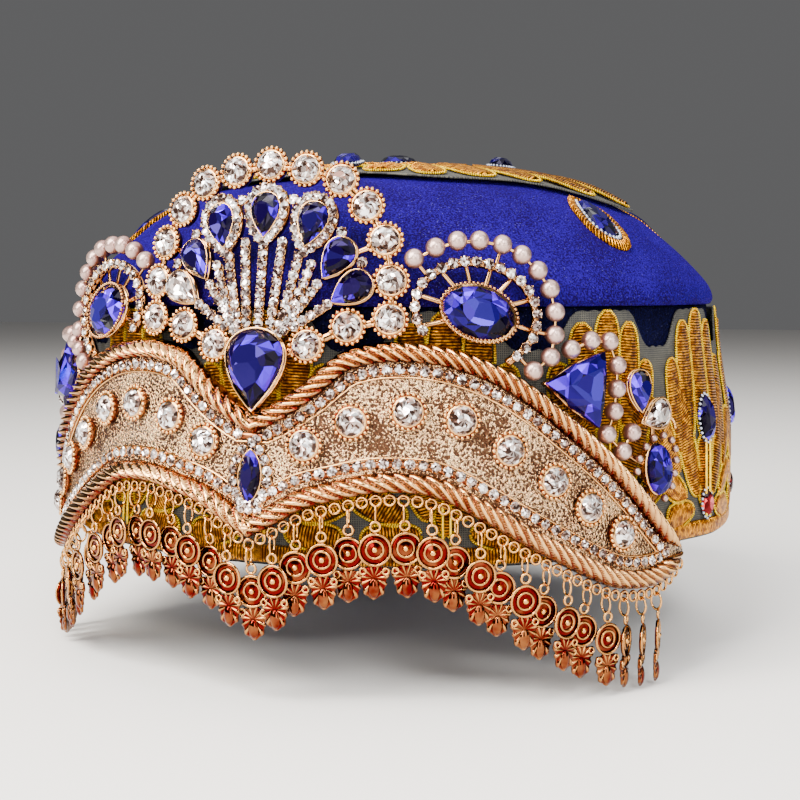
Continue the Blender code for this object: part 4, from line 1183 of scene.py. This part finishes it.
def tiara_plate():
    """The plate: its hammered field, two ropes, stone chains with a wire, and round stones."""
    piece("plate_field", [plate_field()], "rose_gold_plate_hammered",
          ["tiara_plate"])
    lower, upper, width = plate_lines(560)
    metal = [rope(lower, width, 1.0), rope(upper, width, -1.0)]
    open_part = width > CHAIN_ROOM
    chains = []
    for line, side in ((lower, 1.0), (upper, -1.0)):
        chain = beside(line, side * (width + CHAIN_INSET))[open_part]
        wire = beside(line, side * (width + WIRE_INSET))[open_part]
        half = len(chain) // 2
        chains += [spread_along(part, start, CHAIN_PITCH)
                   for part, start in zip((chain[half:], chain[half::-1]), CHAIN_STARTS)]
        metal.append(roll_up(tube(at_height(wire, WIRE[0])[::3], WIRE[1], 5)))
        # The chain's bed is marked 0.85: painted dark red shade and reflection under the stones
        metal.append(roll_up(marked(tube(at_height(chain, BED[0])[::3], BED[1], 6), 0.85)))
    places = np.vstack(chains)
    apart = np.linalg.norm(places - flat(MARQUISE_PLACE), axis=1) > MARQUISE_CLEAR
    places = places[apart & (places[:, 1] > CHAIN_FOOT)]
    metal.append(set_on(small_seat(), places, CUP_LIFT))
    stones = set_on(small_stone(), places, CUP_LIFT + STONE_LIFT,
                    LUCK.uniform(0, 60, len(places)))
    large = twins(flat(PLATE_STONES))
    metal.append(set_on(large_seat(), large, PLATE_SEAT_LIFT))
    big = set_on(large_stone(), large, PLATE_SEAT_LIFT, LUCK.uniform(0, 40, len(large)))
    piece("plate_ropes_and_seats", metal, "rose_gold_plate_polished")
    piece("plate_stones", [stones, big], "glass_cut_clear", cut=True)


def strap(start, end, width, low, high, count=6):
    """A flat strap between two places: an oval section along a straight line."""
    middle = 0.5 * (low + high)
    part = tube(at_height(np.linspace(start, end, count), middle), 0.5 * width, 8)
    part[0][:, 2] = middle + (part[0][:, 2] - middle) * ((high - low) / width)
    # Straps are marked 0.45: partly painted dark red shade and reflection
    return roll_up(marked(part, 0.45))


def drop_cut(outline, depth, count=12):
    """A pear, oval or marquise stone: its girdle, two rows of facets and a table."""
    return cut_stone(outline, depth, count, SET_CUT)


def crest():
    """The arc of round stones, the fan of stone rays, the drops and the large pear."""
    top, stones = flat(CREST_TOP), flat(CREST_STONES)
    places = np.vstack((top[None], twins(stones)))
    metal = [set_on(large_seat(), places)]
    clear = [set_on(large_stone(), places, 0.0, LUCK.uniform(0, 40, len(places)))]
    blue, sparks, number = [], [], 1
    for side in RIGHT_AND_LEFT:
        chain = np.vstack((top, stones * (side, 1.0), np.array(CREST_FOOT) * (side, 1.0)))
        metal += [strap(here, there, 2.2, 0.2, 1.6) for here, there in zip(chain, chain[1:])]
    for angle, height, turn, halo in FAN_DROPS:
        for side in hands(angle):
            place = flat((angle, height)) * (side, 1.0)
            outline = pear(*DROP_SIZE, turn * side)
            # Drop settings are marked 0.5: half painted dark red shade and reflection
            metal.append(set_on(marked(slab(outline, 28, 0.0, 1.5, halo), 0.5), place))
            metal.append(set_on(wire_round(outline, 28, 2.5, 0.1, 0.22), place))
            stone = set_on(drop_cut(outline, 2.8), place, DROP_RISE)
            (clear if number == CLEAR_DROP else blue).append(stone)
            if halo > 1.0:
                sparks.append(place + edge_line(outline, 17, 0.0, 1.3)[:, :2])
            number += 1
    for foot, low, head, high in FAN_RAYS:
        for side in hands(foot):
            start, end = np.array((foot * side, low)), np.array((head * side, high))
            metal.append(strap(start, end, 2.0, 0.2, 1.5, 8))
            sparks.append(spread_along(np.array((start, end)), 1.0, RAY_PITCH))
    for drop, stone in DROP_TIES:
        for side in RIGHT_AND_LEFT:
            start = flat(FAN_DROPS[drop][:2]) * (side, 1.0)
            metal.append(strap(start, stones[stone] * (side, 1.0), 1.4, 0.4, 1.2))
    sparks.append(FAN_SPARKS)
    outline = marquise(*MARQUISE_SIZE)
    sparks.append(edge_line(outline, 14, 0.0, 1.6)[:, :2] + MARQUISE_PLACE)
    places = np.vstack(sparks)
    lifts = np.where(places[:, 1] < 40.0, CUP_LIFT + 0.2, CUP_LIFT - 0.1)
    metal.append(set_on(small_seat(), places, lifts))
    clear.append(set_on(small_stone(1.28), places, lifts + STONE_LIFT,
                        LUCK.uniform(0, 60, len(places))))
    large = pear(*CENTRE_PEAR_SIZE)
    metal.append(set_on(slab(large, 40, 0.0, 2.0, 0.2), CENTRE_PEAR_PLACE))
    metal.append(set_on(wire_round(large, 48, 3.4, 0.15, 0.32, 6), CENTRE_PEAR_PLACE))
    blue.append(set_on(cut_stone(large, 4.6, 16, ((1.0, 0.3), (0.84, 0.62), (0.6, 1.0))),
                       CENTRE_PEAR_PLACE, DROP_RISE))
    metal.append(set_on(wire_round(outline, 32, 2.6, 0.15, 0.28), MARQUISE_PLACE))
    blue.append(set_on(drop_cut(outline, 2.6, 10), MARQUISE_PLACE, DROP_RISE))
    drops = ["fan_drop_%d" % i for i in range(1, CLEAR_DROP)]
    piece("crest_metal", metal, "rose_gold_plate_polished", ["crest"])
    piece("crest_clear_stones", clear, "glass_cut_clear",
          ["fan_drop_%d" % CLEAR_DROP], cut=True)
    piece("crest_blue_stones", blue, "glass_cut_blue",
          drops + ["centre_pear", "centre_marquise"], cut=True)


def oval_frame(metal, blue):
    """The right oval stone in its beads, the arc of rhinestones round it and its spokes.

    A spoke ends at the arc's point that lies furthest its way from the oval's middle.
    """
    centre, arc = flat(OVAL_PLACE), catmull(flat(SPARK_ARC))
    outline = oval(*OVAL_SIZE, OVAL_TURN)
    metal.append(set_on(slab(outline, 40, 0.2, 1.6, 0.8), centre))
    # Beads marked 0.55 and the arc's bar 0.6: partly painted dark red shade and reflection
    beads = at_points(marked(ball(0.5, 6, 4), 0.55), edge_line(outline, 50, 2.7, 0.75))
    metal.append(set_on(beads, centre))
    blue.append(set_on(drop_cut(outline, 3.4, 14), centre, 1.2))
    metal.append(roll_up(marked(tube(at_height(evenly(arc, 60), 0.9), 1.1, 6), 0.6)))
    away = unit(arc - centre)
    for i in range(SPOKES):
        angle = math.radians(FIRST_SPOKE + i * SPOKE_STEP)
        end = arc[np.argmax(away @ (math.cos(angle), math.sin(angle)))]
        metal.append(strap(centre + 0.5 * (end - centre), end, 1.2, 0.3, 1.1))
    return arc


def pearls_on_wire(metal, pearls):
    """Pearls threaded on a bent wire, each with a ring of metal under it."""
    for places in (flat(PEARL_ARC), flat(CLUSTER_PEARLS)):
        wire = evenly(at_height(places, PEARL_LIFT), 60)
        metal.append(roll_up(tube(wire, 0.45, 6)))
        pearls.append(set_on(bead(PEARL_RADIUS, 24, 14), places, PEARL_LIFT))
        collar = moved(hoop(1.1, 0.3, 12, 5), (0, 0, -1.3))
        metal.append(set_on(collar, places, PEARL_LIFT))


def outer_cluster(metal, clear, blue, pearls):
    """The right triangle, two pears and the end oval in its seed pearls, tied by straps."""
    centre = flat(TRIANGLE_PLACE)
    outline = triangle(TRIANGLE_REACH, TRIANGLE_TURN)
    metal.append(set_on(slab(outline, 36, 0.0, 2.2, 0.1), centre))
    blue.append(set_on(cut_stone(outline, 4.4, 6, ((1.0, 0.3), (0.9, 0.6), (0.55, 1.0))),
                       centre, 1.6))
    blue_pear, clear_pear, end_oval = flat((BLUE_PEAR_PLACE, CLEAR_PEAR_PLACE, END_OVAL_PLACE))
    beads = flat(CLUSTER_PEARLS)
    for here, there in ((beads[4], blue_pear), (blue_pear, clear_pear), (beads[7], end_oval),
                        (clear_pear, end_oval)):
        metal.append(strap(here, there, 1.6, 0.5, 1.6))
    for place, turn, stones in ((blue_pear, BLUE_PEAR_TURN, blue),
                                (clear_pear, CLEAR_PEAR_TURN, clear)):
        outline = pear(*SIDE_PEAR_SIZE, turn)
        metal.append(set_on(slab(outline, 28, 0.4, 1.9, 0.3), place))
        metal.append(set_on(wire_round(outline, 28, 2.8, 0.25, 0.3), place))
        stones.append(set_on(drop_cut(outline, 2.8), place, DROP_RISE))
    outline = oval(*END_OVAL_SIZE, END_OVAL_TURN)
    metal.append(set_on(slab(outline, 28, 0.4, 2.2, 0.3), end_oval))
    levels = ((1.0, 0.3), (0.85, 0.65), (0.5, 0.93), (0.2, 1.0))
    blue.append(set_on(cut_stone(outline, 3.8, 14, levels), end_oval, DROP_RISE))
    pearls.append(set_on(bead(SEED_PEARL_RADIUS, 14, 8), SEED_PEARLS, 2.4))
    turn = np.linspace(0.2, 2.6, 12)
    curl = CURL_MIDDLE + CURL_REACH * np.column_stack((np.cos(turn), np.sin(turn)))
    metal.append(set_on(ball(0.55, 6, 4), curl, 2.6))


def sides():
    """The oval frames and the clusters outside them, made on the right and mirrored."""
    metal, clear, blue, pearls = [], [], [], []
    arc = oval_frame(metal, blue)
    pearls_on_wire(metal, pearls)
    places = flat(PEARL_ARC)
    for i in TIED_PEARLS:
        end = arc[np.argmin(np.linalg.norm(arc - places[i], axis=1))]
        metal.append(strap(end, places[i], 1.1, 0.6, 1.5))
    outer_cluster(metal, clear, blue, pearls)
    sparks = spread_along(arc, 0.8, CHAIN_PITCH)
    metal.append(set_on(small_seat(), sparks, CUP_LIFT))
    clear.append(set_on(small_stone(), sparks, CUP_LIFT + STONE_LIFT,
                        LUCK.uniform(0, 60, len(sparks))))

    def pair(parts):
        return parts + [mirrored(part) for part in parts]

    def both(*names):
        return ["%s_%s" % (name, side) for name in names for side in ("left", "right")]
    piece("side_frames", pair(metal), "rose_gold_plate_polished",
          both("oval_frame", "side_cluster"))
    piece("side_pearls", pair(pearls), "glass_pearl_lacquered")
    piece("side_blue_stones", pair(blue), "glass_cut_vivid_blue",
          both("oval_stone", "triangle_stone", "blue_pear", "end_oval"), cut=True)
    piece("side_clear_stones", pair(clear), "glass_cut_clear",
          both("clear_pear"), cut=True)


# Fringe

def charm():
    """A charm: top ring, disc with a milled rim, inner ring and boss, and a lobed fan tail."""
    rim = at_height(circle(CHARM_RADIUS, 64), 0.6)
    rim = tube(rim, 0.3 + 0.12 * (np.arange(64) % 2), 6, over=True)
    disc = lathed(((CHARM_RADIUS, 0.0), (3.75, 0.5), (2.6, 0.3), (1.5, 0.36), (0.3, 0.6)), 28)
    ring = moved(hoop(2.05, 0.36, 28, 6), (0, 0, 0.5))
    boss = ball(0.85, 12, 6, 0.55)
    # Marks paint the plate's dark red shade and reflection: all over the disc, about a third on
    # rim and ring
    coin = [moved(part, (0, -CHARM_FALL, 0))
            for part in (marked(disc, 1.0), marked(rim, 0.35), marked(ring, 0.4), boss)]
    top = moved(hoop(1.15, 0.36, 18, 6), (0, -CHARM_FALL + 5.5, 0.45))
    tongue = ball(1.0, 14, 7)
    tongue = (tongue[0] * (1.45, 2.5, 0.8) + (0, TAIL_MIDDLE - 2.3, 0.3),) + tongue[1:]
    volutes = [moved(hoop(0.75, 0.28, 14, 5), (x, TAIL_MIDDLE + 1.7, 0.45)) for x in (-2.7, 2.7)]
    # The tongue is marked 0.9: mostly painted dark red shade and reflection
    return joined(coin + [top, charm_tail(), marked(tongue, 0.9)] + volutes)


def charm_tail():
    """A charm's ribbed fan.

    Its reach from its middle is a circle, longer downward into a tongue and outward into
    two shoulders, with a fine wave of teeth; ribs run in from the teeth.
    """
    turn = around(88)
    teeth = np.cos(TAIL_TEETH * turn)
    reach = 3.1 + 1.9 * np.clip(np.cos(turn), 0, 1) ** 3
    reach = reach + 0.9 * np.exp(-((np.cos(turn) + 0.45) / 0.3) ** 2) + 0.22 * teeth
    shares = np.array((1.0, 1.0, 0.93, 0.75, 0.5, 0.2))[:, None]
    ridge = np.clip(teeth, 0, 1) * np.array((0, 0, 0.6, 1.0, 0.8, 0.2))[:, None]
    rise = np.array((-0.3, 0.1, 0.25, 0.25, 0.3, 0.3))[:, None] + 0.35 * ridge
    rings = np.stack((reach * shares * np.sin(turn),
                      TAIL_MIDDLE - reach * shares * np.cos(turn), rise), -1)
    # The fan is painted dark red shade and reflection, except on its ridges and outer edge
    marks = np.zeros_like(rings)
    marks[..., 0] = np.clip(1.0 - 0.7 * ridge - 0.2 * (shares > 0.95), 0.0, 1.0)
    return skin(rings, marks)


def pendant_fringe():
    """The loops under the plate, a jump ring at every second loop, and the charms.

    Each charm faces out, with a small random turn about its jump ring and a small sway.
    """
    lower = catmull(flat(LOWER_EDGE)) - (0.0, LOOP_DROP)
    half = evenly(lower, 200)
    loops = np.vstack((spread_along(half, 0.0, LOOP_PITCH),
                       spread_along(half, LOOP_PITCH, LOOP_PITCH) * (-1.0, 1.0)))
    metal = [set_on(hoop(1.25, 0.34, 14, 6), loops, 1.1)]
    rail = at_height(evenly(both_sides(lower), 160) + (0.0, 0.55), 0.45)
    # The rail is marked 0.6: partly painted dark red shade and reflection
    metal.append(roll_up(marked(tube(rail, 0.3, 5), 0.6)))
    link = hoop(1.55, 0.28, 16, 5)
    link = (link[0][:, [2, 1, 0]] * (1.0, 1.4, 1.0) + (0, -2.75, 1.1),) + link[1:]
    shape = charm()
    along = travelled(half)
    upward = np.array(((0.0, 0.0, 1.0),))
    for i in range(CHARMS_PER_SIDE):
        place = np.array([np.interp(CHARM_PITCH * i, along, column) for column in half.T])
        for side in hands(i):
            turn, low = 0.0, OUTER_CHARM if i % 2 else INNER_CHARM
            if i >= CHARMS_PER_SIDE - END_CHARMS:
                turn, low = side * END_CHARM_TURN, END_CHARM
            origin, right, _, _ = seats(place * (side, 1.0))
            out = unit(np.cross(right, upward))
            twist = math.radians(turn + LUCK.uniform(-7, 7))
            facing = out * math.cos(twist) + right * math.sin(twist)
            across = right * math.cos(twist) - out * math.sin(twist)
            sway = math.radians(LUCK.uniform(-3, 3))
            tilted = across * math.cos(sway) + upward * math.sin(sway)
            upright = upward * math.cos(sway) - across * math.sin(sway)
            metal.append(stamped(link, (origin, right, upward, out)))
            metal.append(stamped(shape, (origin + low * out, tilted, upright, facing)))
    piece("fringe", metal, "rose_gold_plate_stamped", ["pendant_fringe"])


# Floor, light and camera, in metres

AIM, LOOKED_AT = (0.0, 0.0, 0.04), (0.0, 0.0, 0.034)
# Soft lights: name, place, width and height, power, tint. The three small ones set sparks
LIGHTS = (("key", (-0.3, -0.6, 0.7), (0.55, 0.55), 26.0, "#fffaf2"),
          ("fill", (0.8, -0.45, 0.4), (0.5, 0.9), 8.0, "#ffffff"),
          ("top", (0.05, 0.15, 0.9), (1.2, 1.0), 14.0, "#ffffff"),
          ("spark_0", (-0.5, -0.8, 0.35), (0.2, 0.2), 6.0, "#ffffff"),
          ("spark_1", (0.45, -0.75, 0.6), (0.2, 0.2), 6.0, "#ffffff"),
          ("spark_2", (0.0, -0.6, 0.9), (0.2, 0.2), 6.0, "#ffffff"),
          ("front", (0.25, -0.95, 0.1), (0.2, 0.6), 6.0, "#fff8f0"))
CAMERA_PLACE, CAMERA_LENS, CAMERA_SENSOR = (0.1496, -0.4013, 0.0677), 63.36, 36.0
CAMERA_SHIFT = (0.0016, -0.0035)
FLOOR_REACH, FLOOR_GAP = 3.0, 0.0005


def aimed(made, place, target):
    """Puts a light or the camera at a place, looking at a target."""
    made.location = place
    turned = (Vector(target) - Vector(place)).to_track_quat("-Z", "Y")
    made.rotation_euler = turned.to_euler()


def area_light(name, place, size, power, tint):
    """A soft light: a rectangle that looks at the crown."""
    light = bpy.data.lights.new(name, "AREA")
    light.shape = "RECTANGLE"
    light.size, light.size_y = size
    light.energy = power
    light.color = linear(tint)[:3]
    aimed(shown(name, light), place, AIM)


def studio():
    """A pale floor, soft lights, and the camera a little to the right and above the brow."""
    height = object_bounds()[0][2] - FLOOR_GAP
    corners = FLOOR_REACH * np.array(((-1, -1), (1, -1), (1, 1), (-1, 1)))
    mesh = bpy.data.meshes.new("floor")
    mesh.from_pydata(at_height(corners, height).tolist(), [], [(0, 1, 2, 3)])
    # Matt emulsion paint, rolled: pale and even, with no gloss to mirror the fringe
    mesh.materials.append(finish("emulsion_paint_matt", {"Base Color": "#e6e3df",
                                                         "Roughness": 0.6})[0])
    shown("floor", mesh)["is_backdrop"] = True
    world = bpy.data.worlds.new("studio")
    world.use_nodes = True
    tree = world.node_tree
    put(tree, tree.nodes["Background"], {"Color": "#e2e2e4", "Strength": 0.16})
    bpy.context.scene.world = world
    for light in LIGHTS:
        area_light(*light)
    camera = bpy.data.cameras.new("camera")
    camera.lens, camera.sensor_width = CAMERA_LENS, CAMERA_SENSOR
    camera.shift_x, camera.shift_y = CAMERA_SHIFT
    seen = shown("camera", camera)
    aimed(seen, CAMERA_PLACE, LOOKED_AT)
    bpy.context.scene.camera = seen


def main():
    """Builds the crown's visible pieces and the studio."""
    make_finishes()
    cap()
    side_strip()
    top_spray()
    tiara_plate()
    crest()
    sides()
    pendant_fringe()
    studio()


main()
